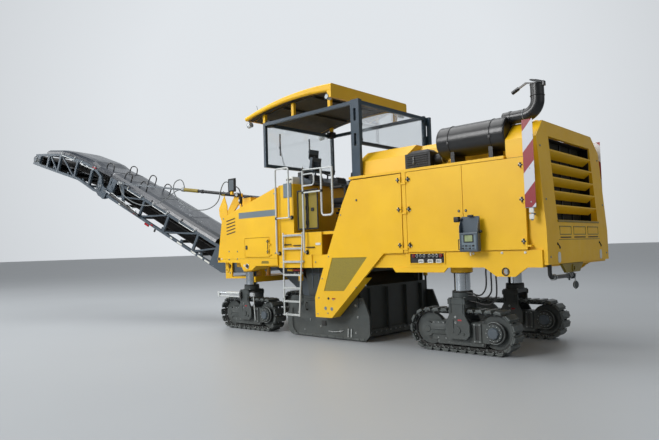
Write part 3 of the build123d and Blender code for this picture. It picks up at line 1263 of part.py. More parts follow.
def outer_side(y0, y1):
    """One arched side of the outer boom: a plate with rounded windows and a few diagonals."""
    side = side_prism(OUTER_BOTTOM + OUTER_TOP[::-1], y0, y1)
    windows = []
    for x0, x1, crossed in OUTER_BAYS:
        low = [(x0, height_on(OUTER_BOTTOM, x0) + CHORD)]
        low += [(x, z + CHORD) for x, z in OUTER_BOTTOM if x0 + 60 < x < x1 - 60]
        low += [(x1, height_on(OUTER_BOTTOM, x1) + CHORD)]
        high = [(x1, height_on(OUTER_TOP, x1) - CHORD)]
        high += [(x, z - CHORD) for x, z in OUTER_TOP[::-1] if x0 + 60 < x < x1 - 60]
        high += [(x0, height_on(OUTER_TOP, x0) - CHORD)]
        window = side_prism(low + high, y0 - 1, y1 + 1)
        corners = [e for e in window.edges().filter_by(Axis.Y)]
        windows.append(fillet(corners, WINDOW_CORNER))
    side = side.cut(*windows)
    bars = []
    for x0, x1, crossed in OUTER_BAYS:
        if crossed:
            low = (x0 - 10, height_on(OUTER_BOTTOM, x0) + CHORD / 2)
            high = (x1 + 10, height_on(OUTER_TOP, x1) - CHORD / 2)
            bars.append(lattice_bar(low, high, 34.0, y0 + 12, y1 - 12))
    return join([side] + bars)


def line_point(along, up, slope):
    """A point from the chords' meeting line, along and square to a slope, in the slewed frame."""
    t = radians(slope)
    return (FOLD_S + along * cos(t) - up * sin(t), FOLD_Z + along * sin(t) + up * cos(t))


def inner_truss():
    """The inner boom with its loading box at the tail."""
    plates = bearing_plates(INNER_BELT_X + INNER_BELT_LENGTH - INNER_DRUM_R, INNER_DRUM_Z)
    pieces = [inner_place() * join([inner_lattice()] + plates)]
    for side in (1, -1):
        y0, y1 = sorted((side * (BOOM_HALF - CHEEK), side * BOOM_HALF))
        t = radians(INNER_SLOPE)
        up_s = BOOM_BOTTOM_S + 400 * cos(t)
        up_z = BOOM_BOTTOM_Z + 400 * sin(t)
        cheek = side_prism(
            (
                (TAIL_S, TAIL_Z0),
                (BOOM_BOTTOM_S, BOOM_BOTTOM_Z),
                (up_s, up_z),
                (up_s - BOOM_DEPTH * sin(t), up_z + BOOM_DEPTH * cos(t)),
                (LUFF_S - 60, TAIL_TOP + 60),
                (TAIL_S, TAIL_TOP),
            ),
            y0,
            y1,
        )
        pieces.append(slewed() * cheek)
        pin = sorted((side * (BOOM_HALF - 5), side * (BOOM_HALF + YOKE_GAP + YOKE_SIDE + 10)))
        pieces.append(slewed() * rod((LUFF_S, pin[0], LUFF_Z), (LUFF_S, pin[1], LUFF_Z), 40.0))
        near, far = sorted((side * (BOOM_HALF - 46), side * (BOOM_HALF - 26)))
        ear = join([
            side_prism((line_point(-180, 0, INNER_SLOPE), line_point(-34, 0, INNER_SLOPE), line_point(-34, 30, INNER_SLOPE),
                        line_point(-180, 30, INNER_SLOPE)), near, far),
            side_prism((line_point(-180, 5, INNER_SLOPE), (FOLD_S - 10, FOLD_PIN_Z - FOLD_EAR_R),
                        (FOLD_S + 10, FOLD_PIN_Z + FOLD_EAR_R - 6), line_point(-34, 5, INNER_SLOPE)), near, far),
            rod((FOLD_S, near, FOLD_PIN_Z), (FOLD_S, far, FOLD_PIN_Z), FOLD_EAR_R),
        ])
        ear = ear.cut(rod((FOLD_S, near - 1, FOLD_PIN_Z), (FOLD_S, far + 1, FOLD_PIN_Z), FOLD_PIN_R + RUN_GAP))
        pieces.append(slewed() * ear)
        foot = turned(FOLD_FOOT, INNER_SLOPE)
        out = sorted((side * (BOOM_HALF - 12), side * (FOLD_CYL_Y + 28)))
        pieces.append(slewed() * rod((foot[0], out[0], foot[1]), (foot[0], out[1], foot[1]), FOLD_PIN_R))
        lug = sorted((side * (BOOM_HALF - 1), side * (STRUT_SIDE - 32)))
        pieces.append(slewed() * rod((STRUT_END_S, lug[0], STRUT_END_Z), (STRUT_END_S, lug[1], STRUT_END_Z), 26.0))
        post = sorted((side * (BOOM_HALF - 20), side * BOOM_HALF))
        t = radians(INNER_SLOPE)
        top_z = BOOM_BOTTOM_Z + (STRUT_END_S - BOOM_BOTTOM_S) * sin(t) / cos(t)
        pieces.append(slewed() * block(STRUT_END_S - 45, STRUT_END_S + 45, post[0], post[1], top_z + 40, STRUT_END_Z + 45))
    pieces.append(slewed() * block(TAIL_S, BOOM_BOTTOM_S, -BOOM_HALF + 10, BOOM_HALF - 10, TAIL_Z0, TAIL_Z0 + 12))
    return join(pieces)


def inner_hood():
    """The bent cover over the inner belt, up to the fold."""
    z = BOOM_DEPTH + SEAT_GAP
    return inner_place() * boom_hood(((INNER_START + 230, z), (INNER_LENGTH - 20, z)))


def boom_hood(path):
    """A bent sheet cover whose lower edges follow a line over the top chords."""
    half = BOOM_HALF - 20
    rise = HOOD_RISE
    outer = ((-half, 0), (half, 0), (half - 18, rise * 0.5), (half - 90, rise * 0.85), (half - 240, rise),
             (-half + 240, rise), (-half + 90, rise * 0.85), (-half + 18, rise * 0.5))
    inner = ((-half + 14, -2), (half - 14, -2), (half - 32, rise * 0.5 - 4), (half - 98, rise * 0.85 - 12), (half - 243, rise - 13),
             (-half + 243, rise - 13), (-half + 98, rise * 0.85 - 12), (-half + 32, rise * 0.5 - 4))
    (xa, za), (xb, zb) = path[0], path[-1]
    longer = ((xa - 1, za),) + tuple(path[1:-1]) + ((xb + 1, zb),)
    return run_prism(outer, path).cut(run_prism(inner, longer))


def inner_belt():
    """The discharge belt's inner run, with its tail drum."""
    tail, head = BOOM_HALF - CHEEK - SEAT_GAP, BOOM_HALF - CHORD - SEAT_GAP
    loop = belt_loop(INNER_BELT_LENGTH, INNER_DRUM_R, 420.0, 16.0, INNER_DRUM_Z, tail, head)
    return inner_place() * Pos(INNER_BELT_X, 0, 0) * loop


def outer_truss():
    """The outer boom: arched sides, cross tubes and the hinge and crank plates at the fold."""
    pieces = []
    inner = BOOM_HALF - CHORD + 1
    for side in (1, -1):
        y0, y1 = sorted((side * (BOOM_HALF - CHORD), side * BOOM_HALF))
        pieces.append(outer_side(y0, y1))
        y0, y1 = sorted((side * (BOOM_HALF - 5), side * (BOOM_HALF + 12)))
        pieces.append(rod((OUTER_HEAD[0], y0, OUTER_HEAD[1]), (OUTER_HEAD[0], y1, OUTER_HEAD[1]), 55.0))
        y0, y1 = sorted((side * (BOOM_HALF - 1), side * (CRANK_Y0 + 1)))
        pieces.append(block(90.0, 270.0, y0, y1, 60.0, 240.0))
    for x, z in ((120.0, -5.0), (620.0, height_on(OUTER_BOTTOM, 620.0) + 5)):
        pieces.append(block(x, x + 50, -inner, inner, z, z + 50))
    for x in (1195.0, 1875.0, 2325.0):
        top = height_on(OUTER_TOP, x + 25) - 12
        pieces.append(block(x, x + 50, -inner, inner, top - 50, top))
    pieces = [outer_place() * join(pieces)]
    for side in (1, -1):
        near, far = sorted((side * (BOOM_HALF - 18), side * (BOOM_HALF - 1)))
        inner, outer = sorted((side * (BOOM_HALF - 50), side * CRANK_Y1))
        y0, y1 = sorted((side * CRANK_Y0, side * CRANK_Y1))
        eye = turned(FOLD_EYE, INNER_SLOPE)
        crank = side_prism((
            turned((-30, -34), OUTER_SLOPE), turned((0, -44), OUTER_SLOPE), turned((60, -30), OUTER_SLOPE),
            turned((300, 110), OUTER_SLOPE), turned((300, 300), OUTER_SLOPE), turned((40, 250), OUTER_SLOPE),
            (eye[0] - 4, eye[1] + 42), (eye[0] - 42, eye[1] + 6), (eye[0] - 26, eye[1] - 34)), y0, y1)
        ear = join([
            side_prism((line_point(34, 2, OUTER_SLOPE), line_point(300, 2, OUTER_SLOPE), line_point(190, -70, OUTER_SLOPE),
                        (FOLD_S + 10, FOLD_PIN_Z - FOLD_EAR_R + 4), (FOLD_S - 10, FOLD_PIN_Z + 20)), near, far),
            rod((FOLD_S, near, FOLD_PIN_Z), (FOLD_S, far, FOLD_PIN_Z), FOLD_EAR_R),
            rod((FOLD_S, inner, FOLD_PIN_Z), (FOLD_S, outer, FOLD_PIN_Z), FOLD_PIN_R),
            crank,
        ])
        pieces.append(slewed() * ear)
    return join(pieces)


def outer_hood():
    """The arched cover over the outer belt."""
    return outer_place() * boom_hood(HOOD_PATH)


def outer_belt():
    """The discharge belt's outer run with its head drum."""
    reach = BOOM_HALF - CHORD - SEAT_GAP
    run, drop = OUTER_HEAD[0] - OUTER_TAIL[0], OUTER_TAIL[1] - OUTER_HEAD[1]
    tilt = degrees(atan2(drop, run))
    start = OUTER_TAIL[0] - OUTER_DRUM_R * cos(radians(tilt)), OUTER_TAIL[1] + OUTER_DRUM_R * sin(radians(tilt))
    loop = belt_loop(hypot(run, drop) + 2 * OUTER_DRUM_R, OUTER_DRUM_R, 420.0, 16.0, 0.0, reach, reach)
    return outer_place() * Location((start[0], 0, start[1]), (0, tilt, 0)) * loop


def slew_yoke():
    """The yoke that carries the conveyor: a foot on the nose pin, two sides and the mast for the struts."""
    inner = BOOM_HALF + YOKE_GAP
    outer = inner + YOKE_SIDE
    pieces = [block(-150.0, YOKE_S1, -outer, outer, YOKE_FOOT_Z, YOKE_FOOT_Z + YOKE_FOOT)]
    for side in (1, -1):
        y0, y1 = sorted((side * inner, side * outer))
        post = side_prism(
            (
                (YOKE_S0, YOKE_FOOT_Z),
                (YOKE_S1, YOKE_FOOT_Z),
                (YOKE_S1, 2300.0),
                (STRUT_S + 90, MAST_TOP),
                (STRUT_S - 70, MAST_TOP),
                (STRUT_S - 70, MAST_TOP - 130),
                (YOKE_S0, 2330.0),
            ),
            y0,
            y1,
        )
        post = post.cut(rod((LUFF_S, y0 - 1, LUFF_Z), (LUFF_S, y1 + 1, LUFF_Z), 40.0 + RUN_GAP))
        pieces.append(post)
    pieces.append(block(YOKE_S0 + 20, YOKE_S1 - 20, -inner - 1, inner + 1, 2200.0, 2300.0))
    pieces.append(rod((0, 0, NOSE_Z0 - 20), (0, 0, YOKE_FOOT_Z + 1), SLEW_PIN_R))
    for side in (1, -1):
        y0, y1 = sorted((side * (outer - 1), side * (STRUT_SIDE + 34)))
        pieces.append(rod((STRUT_S, y0, STRUT_Z), (STRUT_S, y1, STRUT_Z), STRUT_PIN_R))
    return slewed() * join(pieces)


def strut_line(t):
    """A point along the luff strut from its mast end, in the slewed frame."""
    return (STRUT_S + t * (STRUT_END_S - STRUT_S), STRUT_Z + t * (STRUT_END_Z - STRUT_Z))


def luff_barrels():
    """The two luff cylinders' barrels, hung from the mast."""
    shapes = []
    for side in (1, -1):
        y = side * STRUT_SIDE
        a, b, c = strut_line(0.0), strut_line(0.44), strut_line(0.03)
        shape = join([
            tube((c[0], y, c[1]), (b[0], y, b[1]), STRUT_R, STRUT_ROD_R + RUN_GAP),
            rod((a[0], y, a[1]), (c[0], y, c[1]), STRUT_R),
            rod((a[0], y - 30, a[1]), (a[0], y + 30, a[1]), 48.0),
        ])
        shapes.append(shape.cut(rod((a[0], y - 40, a[1]), (a[0], y + 40, a[1]), STRUT_PIN_R + RUN_GAP)))
    return slewed() * group(shapes)


def luff_rods():
    """The luff cylinders' rods, out to their eyes on the boom."""
    shapes = []
    for side in (1, -1):
        y = side * STRUT_SIDE
        a, b = strut_line(0.08), strut_line(1.0)
        shapes.append(join([
            rod((a[0], y, a[1]), (b[0], y, b[1]), STRUT_ROD_R),
            rod((b[0], y - 22, b[1]), (b[0], y + 22, b[1]), 40.0),
        ]))
    return slewed() * group(shapes)


FOLD_FOOT = (-1330.0, 122.0)    # fold cylinder's foot, from the fold pin, along and square to the inner boom
FOLD_EYE = (-35.0, 197.0)       # its eye on the crank, the same way
FOLD_CYL_Y = 650.0
CRANK_Y0 = BOOM_HALF + 6.0      # the crank plates outside the booms
CRANK_Y1 = CRANK_Y0 + 18.0
FOLD_BARREL_END = 1090.0        # the barrel's mouth and the rod's inner end, from the foot
FOLD_ROD_START = 760.0
FOLD_BARREL_R = 30.0
FOLD_ROD_R = 17.0
FOLD_EYE_R = 34.0


def turned(point, slope):
    """A point given from the fold pin along and square to a slope, in the slewed frame."""
    t = radians(slope)
    return (FOLD_S + point[0] * cos(t) - point[1] * sin(t), FOLD_PIN_Z + point[0] * sin(t) + point[1] * cos(t))


def fold_line(distance):
    """A point along the fold cylinder from its foot, in the slewed frame."""
    foot, eye = turned(FOLD_FOOT, INNER_SLOPE), turned(FOLD_EYE, INNER_SLOPE)
    length = hypot(eye[0] - foot[0], eye[1] - foot[1])
    share = distance / length
    return (foot[0] + share * (eye[0] - foot[0]), foot[1] + share * (eye[1] - foot[1]))


def fold_length():
    """Distance between the fold cylinder's foot and eye at rest."""
    foot, eye = turned(FOLD_FOOT, INNER_SLOPE), turned(FOLD_EYE, INNER_SLOPE)
    return hypot(eye[0] - foot[0], eye[1] - foot[1])


def fold_barrels():
    """The fold cylinders' barrels beside the inner boom."""
    shapes = []
    for side in (1, -1):
        y = side * FOLD_CYL_Y
        a, b, c = fold_line(0.0), fold_line(FOLD_BARREL_END), fold_line(50.0)
        shape = join([
            tube((c[0], y, c[1]), (b[0], y, b[1]), FOLD_BARREL_R, FOLD_ROD_R + RUN_GAP),
            rod((a[0], y, a[1]), (c[0], y, c[1]), FOLD_BARREL_R),
            rod((a[0], y - 24, a[1]), (a[0], y + 24, a[1]), FOLD_EYE_R),
        ])
        shapes.append(shape.cut(rod((a[0], y - 30, a[1]), (a[0], y + 30, a[1]), FOLD_PIN_R + RUN_GAP)))
    return slewed() * group(shapes)


def fold_rods():
    """The fold cylinders' rods to the outer boom."""
    shapes = []
    for side in (1, -1):
        y = side * FOLD_CYL_Y
        a, b = fold_line(FOLD_ROD_START), fold_line(fold_length())
        shapes.append(join([
            rod((a[0], y, a[1]), (b[0], y, b[1]), FOLD_ROD_R),
            rod((b[0], y - 24, b[1]), (b[0], y + 24, b[1]), FOLD_EYE_R),
        ]))
    return slewed() * group(shapes)


# ---- every sub-part ----
def build_parts():
    """Make each node and return them by name, in the machine frame."""
    parts = {
        "chassis_frame": chassis_frame(),
        "front_body": front_body(),
        "rear_enclosure": rear_enclosure(),
        "radiator_cowl": radiator_cowl(),
        "engine_block": engine_block(),
        "drum_housing": drum_housing(),
        "primary_conveyor": primary_conveyor(),
        "primary_belt": primary_belt(),
        "operator_platform": operator_platform(),
        "control_console": control_console(),
        "seats": seats(),
        "seat_stands": seat_stands(),
        "canopy_roof": canopy_roof(),
        "canopy_frame": canopy_frame(),
        "canopy_glass": canopy_glass(),
        "exhaust_system": exhaust_system(),
        "air_intake": air_intake(),
        "ladders": ladders(),
        "handrails": handrails(),
        "warning_boards": warning_boards(),
        "work_lamps": work_lamps(),
        "hitch_bracket": hitch_bracket(),
        "water_pipe": water_pipe(),
        "milling_drum": milling_drum(),
        "side_plate_left": side_plate(LEFT_PLATE_Y, 1),
        "side_plate_right": side_plate(RIGHT_PLATE_Y, -1),
        "moldboard": moldboard(),
        "door_left_rear": hinged_door(ENCLOSURE_X0 + DOOR_GAP, DOOR_MEET_X - DOOR_GAP / 2, ENCLOSURE_X0 + DOOR_GAP, 1),
        "door_left_front": hinged_door(DOOR_MEET_X + DOOR_GAP / 2, POST_X0, POST_X0, 1),
        "door_right_rear": hinged_door(ENCLOSURE_X0 + DOOR_GAP, DOOR_MEET_X - DOOR_GAP / 2, ENCLOSURE_X0 + DOOR_GAP, -1),
        "door_right_front": hinged_door(DOOR_MEET_X + DOOR_GAP / 2, POST_X0, POST_X0, -1),
        "belt_guard": belt_guard_left(),
        "door_right_middle": panel_right(),
        "control_box": control_box(),
        "hatch_left": hatch(1),
        "hatch_right": hatch(-1),
        "slew_yoke": slew_yoke(),
        "inner_truss": inner_truss(),
        "inner_hood": inner_hood(),
        "inner_belt": inner_belt(),
        "outer_truss": outer_truss(),
        "outer_hood": outer_hood(),
        "outer_belt": outer_belt(),
        "luff_barrels": luff_barrels(),
        "luff_rods": luff_rods(),
        "fold_barrels": fold_barrels(),
        "fold_rods": fold_rods(),
    }
    frame, track, column = crawler_frame_local(), track_local(), column_local()
    for name, x, side in CRAWLERS:
        place = Pos(x, side * CRAWLER_Y, TRACK_Z)
        parts["crawler_frame_" + name] = place * frame
        parts["track_" + name] = place * track
        parts["column_" + name] = place * column
    return parts


def main():
    """Write every sub-part to its own file."""
    os.makedirs("parts", exist_ok=True)
    shift = Pos(-ORIGIN_X, -ORIGIN_Y, 0)
    for name, shape in build_parts().items():
        export_step(shift * shape, "parts/" + name + ".step")


if __name__ == "__main__":
    main()
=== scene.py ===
"""Cold planer: finishes, fittings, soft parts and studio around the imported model.

Places are in metres. The machine frame has X forward from the cowl's rear face, Y to the machine's left from its
centre line and Z up from the ground; the conveyor's pieces are placed in the frames of its two booms.
"""

from math import cos, pi, radians, sin, tan

import bpy
from bpy.props import FloatProperty, FloatVectorProperty, IntProperty, PointerProperty
from mathutils import Matrix, Vector


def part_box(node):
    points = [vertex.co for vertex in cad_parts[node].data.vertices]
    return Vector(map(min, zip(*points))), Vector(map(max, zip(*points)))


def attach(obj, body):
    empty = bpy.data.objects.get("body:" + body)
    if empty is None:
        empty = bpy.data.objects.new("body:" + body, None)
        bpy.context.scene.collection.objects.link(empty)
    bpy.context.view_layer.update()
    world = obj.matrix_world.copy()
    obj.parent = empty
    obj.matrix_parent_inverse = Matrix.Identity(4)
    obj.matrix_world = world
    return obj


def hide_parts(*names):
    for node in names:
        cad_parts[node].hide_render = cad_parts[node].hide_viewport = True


bl_info = {
    "name": "Cold planer",
    "version": (1, 0, 0),
    "blender": (4, 5, 0),
    "location": "View3D > Sidebar > Planer",
    "description": "Builds the visible fittings and finishes of a tracked road milling machine",
    "category": "Object",
}

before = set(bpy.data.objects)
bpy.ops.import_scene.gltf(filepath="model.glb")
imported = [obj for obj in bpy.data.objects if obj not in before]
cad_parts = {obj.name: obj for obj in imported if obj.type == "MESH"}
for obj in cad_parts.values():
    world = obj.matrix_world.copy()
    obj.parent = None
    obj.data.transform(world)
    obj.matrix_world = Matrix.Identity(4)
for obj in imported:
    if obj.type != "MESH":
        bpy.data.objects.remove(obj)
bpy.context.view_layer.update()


def linear(hex_colour):
    """An sRGB hex value as linear red, green, blue and alpha."""
    parts = [int(hex_colour[i:i + 2], 16) / 255 for i in (0, 2, 4)]
    return [p / 12.92 if p <= 0.04045 else ((p + 0.055) / 1.055) ** 2.4 for p in parts] + [1.0]


# ---- frames ----
def moved(x, y, z):
    return Matrix.Translation((x, y, z))


def turned(degrees, axis):
    return Matrix.Rotation(radians(degrees), 4, axis)


COWL_LOW, COWL_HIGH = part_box("radiator_cowl")
MACHINE = moved(COWL_LOW.x, (COWL_LOW.y + COWL_HIGH.y) / 2, 0)
SLEW_X, SLEW_ANGLE = 6.95, 14.4
INNER_SLOPE, OUTER_SLOPE = 28.19, 21.0
SLOPE_START, SLOPE_FOOT = 0.575, 1.1    # where the inner boom's bottom chord starts, and its height
FOLD_S = 4.23
FOLD_Z = SLOPE_FOOT + (FOLD_S - SLOPE_START) * tan(radians(INNER_SLOPE))
SLEWED = MACHINE @ moved(SLEW_X, 0, 0) @ turned(SLEW_ANGLE, "Z")
INNER = SLEWED @ moved(SLOPE_START, 0, SLOPE_FOOT) @ turned(-INNER_SLOPE, "Y")
OUTER = SLEWED @ moved(FOLD_S, 0, FOLD_Z) @ turned(-OUTER_SLOPE, "Y")
LEFT, RIGHT = 1, -1
BODY_HALF = 1.25
SILL_HALF = 1.222
CRAWLERS = ("front_left", "front_right", "rear_left", "rear_right")
MIRROR = Matrix.Scale(-1, 4, (0, 1, 0))
SHARP_ANGLE, SMOOTH_ANGLE = 40, 35    # degrees: edges above the first are eased, below the second they shade smoothly
SHOE_HALF = 0.150
CHAIN_LIFT = 0.046                    # how far the middle line of a track's chain lies inside its shoes' outer face


def crawler_frame(name):
    """The frame at the middle of one track, and the track's radius and half straight run."""
    low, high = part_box("track_" + name)
    middle = (low + high) / 2
    radius = (high.z - low.z) / 2
    return moved(*middle), radius, (high.x - low.x) / 2 - radius


# ---- shaping ----
def deselect():
    bpy.ops.object.select_all(action="DESELECT")


def sized(finish):
    """The new object with its size and place in its mesh, and its finish on it."""
    bpy.ops.object.transform_apply(location=True, rotation=True, scale=True)
    piece = bpy.context.object
    piece.data.materials.clear()
    piece.data.materials.append(FINISH[finish])
    return piece


def ease(width, segments=1):
    """Eases the sharp edges of the active object."""
    if width <= 0:
        return
    bpy.ops.object.mode_set(mode="EDIT")
    bpy.ops.mesh.select_all(action="DESELECT")
    bpy.ops.mesh.select_mode(type="EDGE")
    bpy.ops.mesh.edges_select_sharp(sharpness=radians(SHARP_ANGLE))
    bpy.ops.mesh.bevel(offset=width, segments=segments, affect="EDGES")
    bpy.ops.object.mode_set(mode="OBJECT")


def block(low, high, finish, edge=0.003, segments=1):
    """A bar or plate between two corners, with eased edges."""
    deselect()
    low, high = Vector(low), Vector(high)
    bpy.ops.mesh.primitive_cube_add(size=1, location=(low + high) / 2, scale=high - low)
    piece = sized(finish)
    ease(edge, segments)
    return piece


def barrel(start, end, radius, finish, sides=20, edge=0.003, end_radius=None):
    """A round bar or cone between two points, with eased rims."""
    deselect()
    start, end = Vector(start), Vector(end)
    run = end - start
    turn = run.to_track_quat("Z", "Y").to_euler()
    place = (start + end) / 2
    if end_radius is None:
        bpy.ops.mesh.primitive_cylinder_add(vertices=sides, radius=radius, depth=run.length, location=place,
                                            rotation=turn)
    else:
        bpy.ops.mesh.primitive_cone_add(vertices=sides, radius1=radius, radius2=end_radius, depth=run.length,
                                        location=place, rotation=turn)
    piece = sized(finish)
    ease(edge)
    return piece


def ring(middle, axis, radius, thick, finish, sides=28):
    """A round seal or ring about an axis."""
    deselect()
    turn = Vector(axis).to_track_quat("Z", "Y").to_euler()
    bpy.ops.mesh.primitive_torus_add(major_segments=sides, minor_segments=8, major_radius=radius, minor_radius=thick,
                                     location=middle, rotation=turn)
    return sized(finish)


def plate(outline, low, high, finish, across="Y", edge=0.002):
    """A flat plate with its outline drawn in the two other axes, between two values along one."""
    deselect()
    bpy.ops.mesh.primitive_circle_add(vertices=len(outline), fill_type="NGON")
    piece = bpy.context.object
    for vertex, (a, b) in zip(piece.data.vertices, outline):
        vertex.co = {"X": (low, a, b), "Y": (a, low, b), "Z": (a, b, low)}[across]
    push = {"X": (high - low, 0, 0), "Y": (0, high - low, 0), "Z": (0, 0, high - low)}[across]
    bpy.ops.object.mode_set(mode="EDIT")
    bpy.ops.mesh.select_all(action="SELECT")
    bpy.ops.mesh.extrude_region_move(TRANSFORM_OT_translate={"value": push})
    bpy.ops.mesh.select_all(action="SELECT")
    bpy.ops.mesh.normals_make_consistent(inside=False)
    bpy.ops.object.mode_set(mode="OBJECT")
    piece = sized(finish)
    ease(edge)
    return piece


def select_face(piece, towards):
    """Enters edit mode with the one face selected that lies furthest along a direction."""
    towards = Vector(towards)
    best = max(piece.data.polygons, key=lambda face: (round(face.normal.dot(towards), 2), face.area)).index
    bpy.ops.object.mode_set(mode="EDIT")
    bpy.ops.mesh.select_all(action="DESELECT")
    bpy.ops.mesh.select_mode(type="FACE")
    bpy.ops.object.mode_set(mode="OBJECT")
    piece.data.polygons[best].select = True
    bpy.ops.object.mode_set(mode="EDIT")


def recessed(low, high, towards, rim, depth, finish, inside, edge=0.003):
    """A box whose face towards a direction has a rim and a sunk field of another finish."""
    piece = block(low, high, finish, edge)
    select_face(piece, towards)
    bpy.ops.mesh.inset(thickness=rim, depth=0)
    sink = Vector(towards) * -depth
    bpy.ops.mesh.extrude_region_move(TRANSFORM_OT_translate={"value": sink})
    piece.data.materials.append(FINISH[inside])
    bpy.context.object.active_material_index = 1
    bpy.ops.object.material_slot_assign()
    bpy.ops.object.mode_set(mode="OBJECT")
    return piece


def tapered(low, high, towards, scale, finish, edge=0.003):
    """A block whose face towards a direction is drawn in."""
    piece = block(low, high, finish, 0)
    select_face(piece, towards)
    bpy.ops.transform.resize(value=scale)
    bpy.ops.object.mode_set(mode="OBJECT")
    ease(edge)
    return piece


def smooth_line(points, radius, finish, sides=3):
    """A round line whose smooth course follows its control points, as a curve."""
    curve = bpy.data.curves.new("line", "CURVE")
    curve.dimensions = "3D"
    curve.bevel_depth = radius
    curve.bevel_resolution = sides
    curve.resolution_u = 8
    curve.use_fill_caps = True
    spline = curve.splines.new("NURBS")
    spline.points.add(len(points) - 1)
    for place, point in zip(spline.points, points):
        place.co = (*point, 1.0)
    spline.order_u = 3
    spline.use_endpoint_u = True
    curve.materials.append(FINISH[finish])
    piece = bpy.data.objects.new("line", curve)
    bpy.context.collection.objects.link(piece)
    return piece


def pipe(points, radius, finish, sides=3):
    """A bent rigid tube, as a mesh."""
    piece = smooth_line(points, radius, finish, sides)
    deselect()
    piece.select_set(True)
    bpy.context.view_layer.objects.active = piece
    bpy.ops.object.convert(target="MESH")
    return bpy.context.object


def bow(a, b, lift, radius, finish):
    """A bent handle from a to b that stands off by lift, with rounded corners."""
    a, b, lift = Vector(a), Vector(b), Vector(lift)
    run, neck = (b - a) * 0.25, lift * 0.8
    return pipe([a, a + neck, a + lift, a + lift + run, b + lift - run, b + lift, b + neck, b], radius, finish, 2)


def bolt(place, towards, radius=0.011, finish="zinc_steel", washer=True):
    """A hexagon bolt head on its washer."""
    place, towards = Vector(place), Vector(towards).normalized()
    head = [barrel(place, place + towards * radius * 0.9, radius, finish, 6, radius * 0.12)]
    if washer:
        head.append(barrel(place, place + towards * radius * 0.3, radius * 1.45, finish, 12, 0))
    return head


def side_bolts(places, face, *settings):
    """Bolt heads on a face of the machine's side, at places along it and up."""
    return [piece for x, z in places for piece in bolt((x, face, z), (0, 1, 0), *settings)]


def copied(pieces, places):
    """Copies of pieces at other places, each with its own mesh."""
    made = []
    for place in places:
        for piece in pieces:
            twin = piece.copy()
            twin.data = piece.data.copy()
            twin.data.transform(place)
            if place.is_negative:
                twin.data.flip_normals()
            bpy.context.collection.objects.link(twin)
            made.append(twin)
    return made


def set_out(pieces, places):
    """Copies of pieces at other places, in place of the pieces themselves."""
    made = copied(pieces, places)
    for piece in pieces:
        bpy.data.objects.remove(piece)
    return made


def both_sides(pieces):
    """The pieces and their mirror images on the machine's other side."""
    return list(pieces) + copied(pieces, [MIRROR])


def fitted(name, pieces, body, place=None):
    """Joins pieces into one named object, in its place, riding on a body."""
    deselect()
    for piece in pieces:
        piece.select_set(True)
    bpy.context.view_layer.objects.active = pieces[0]
    if len(pieces) > 1:
        bpy.ops.object.join()
    made = bpy.context.object
    made.name = made.data.name = name
    made.data.transform(MACHINE if place is None else place)
    bpy.ops.object.shade_smooth_by_angle(angle=radians(SMOOTH_ANGLE))
    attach(made, body)
    return made


# ---- finishes ----
FINISH = {}


def add(tree, kind, settings=(), **inputs):
    """Adds a node with its settings, and its inputs as values or links."""
    node = tree.nodes.new(kind)
    for key, value in dict(settings).items():
        setattr(node, key, value)
    for key, value in inputs.items():
        socket = node.inputs[int(key[1:]) if key[0] == "i" and key[1:].isdigit() else key.replace("_", " ")]
        if isinstance(value, bpy.types.NodeSocket):
            tree.links.new(value, socket)
        else:
            socket.default_value = value
    return node


def started(name, **shader):
    """A new material with its shader, and the coordinates on the piece."""
    material = bpy.data.materials.new(name)
    material.use_nodes = True
    tree = material.node_tree
    surface = tree.nodes["Principled BSDF"]
    for key, value in shader.items():
        surface.inputs[key.replace("_", " ")].default_value = value
    where = add(tree, "ShaderNodeTexCoord").outputs["Object"]
    return material, tree, surface, where


def per_metre(millimetres):
    """A pattern's scale from the real size of one of its features."""
    return 1000.0 / millimetres


def mixed(tree, factor, first, second):
    """A colour between two, by a factor."""
    node = tree.nodes.new("ShaderNodeMix")
    node.data_type = "RGBA"
    for socket, value in ((node.inputs[0], factor), (node.inputs[6], first), (node.inputs[7], second)):
        if isinstance(value, bpy.types.NodeSocket):
            tree.links.new(value, socket)
        else:
            socket.default_value = value
    return node.outputs[2]


def tinted(tree, surface, factor, first, second):
    """Gives a shader a colour between two."""
    tree.links.new(mixed(tree, factor, first, second), surface.inputs["Base Color"])


def embossed(tree, surface, strength, distance, height):
    """Gives a shader a fine relief."""
    relief = add(tree, "ShaderNodeBump", Strength=strength, Distance=distance, Height=height)
    tree.links.new(relief.outputs[0], surface.inputs["Normal"])


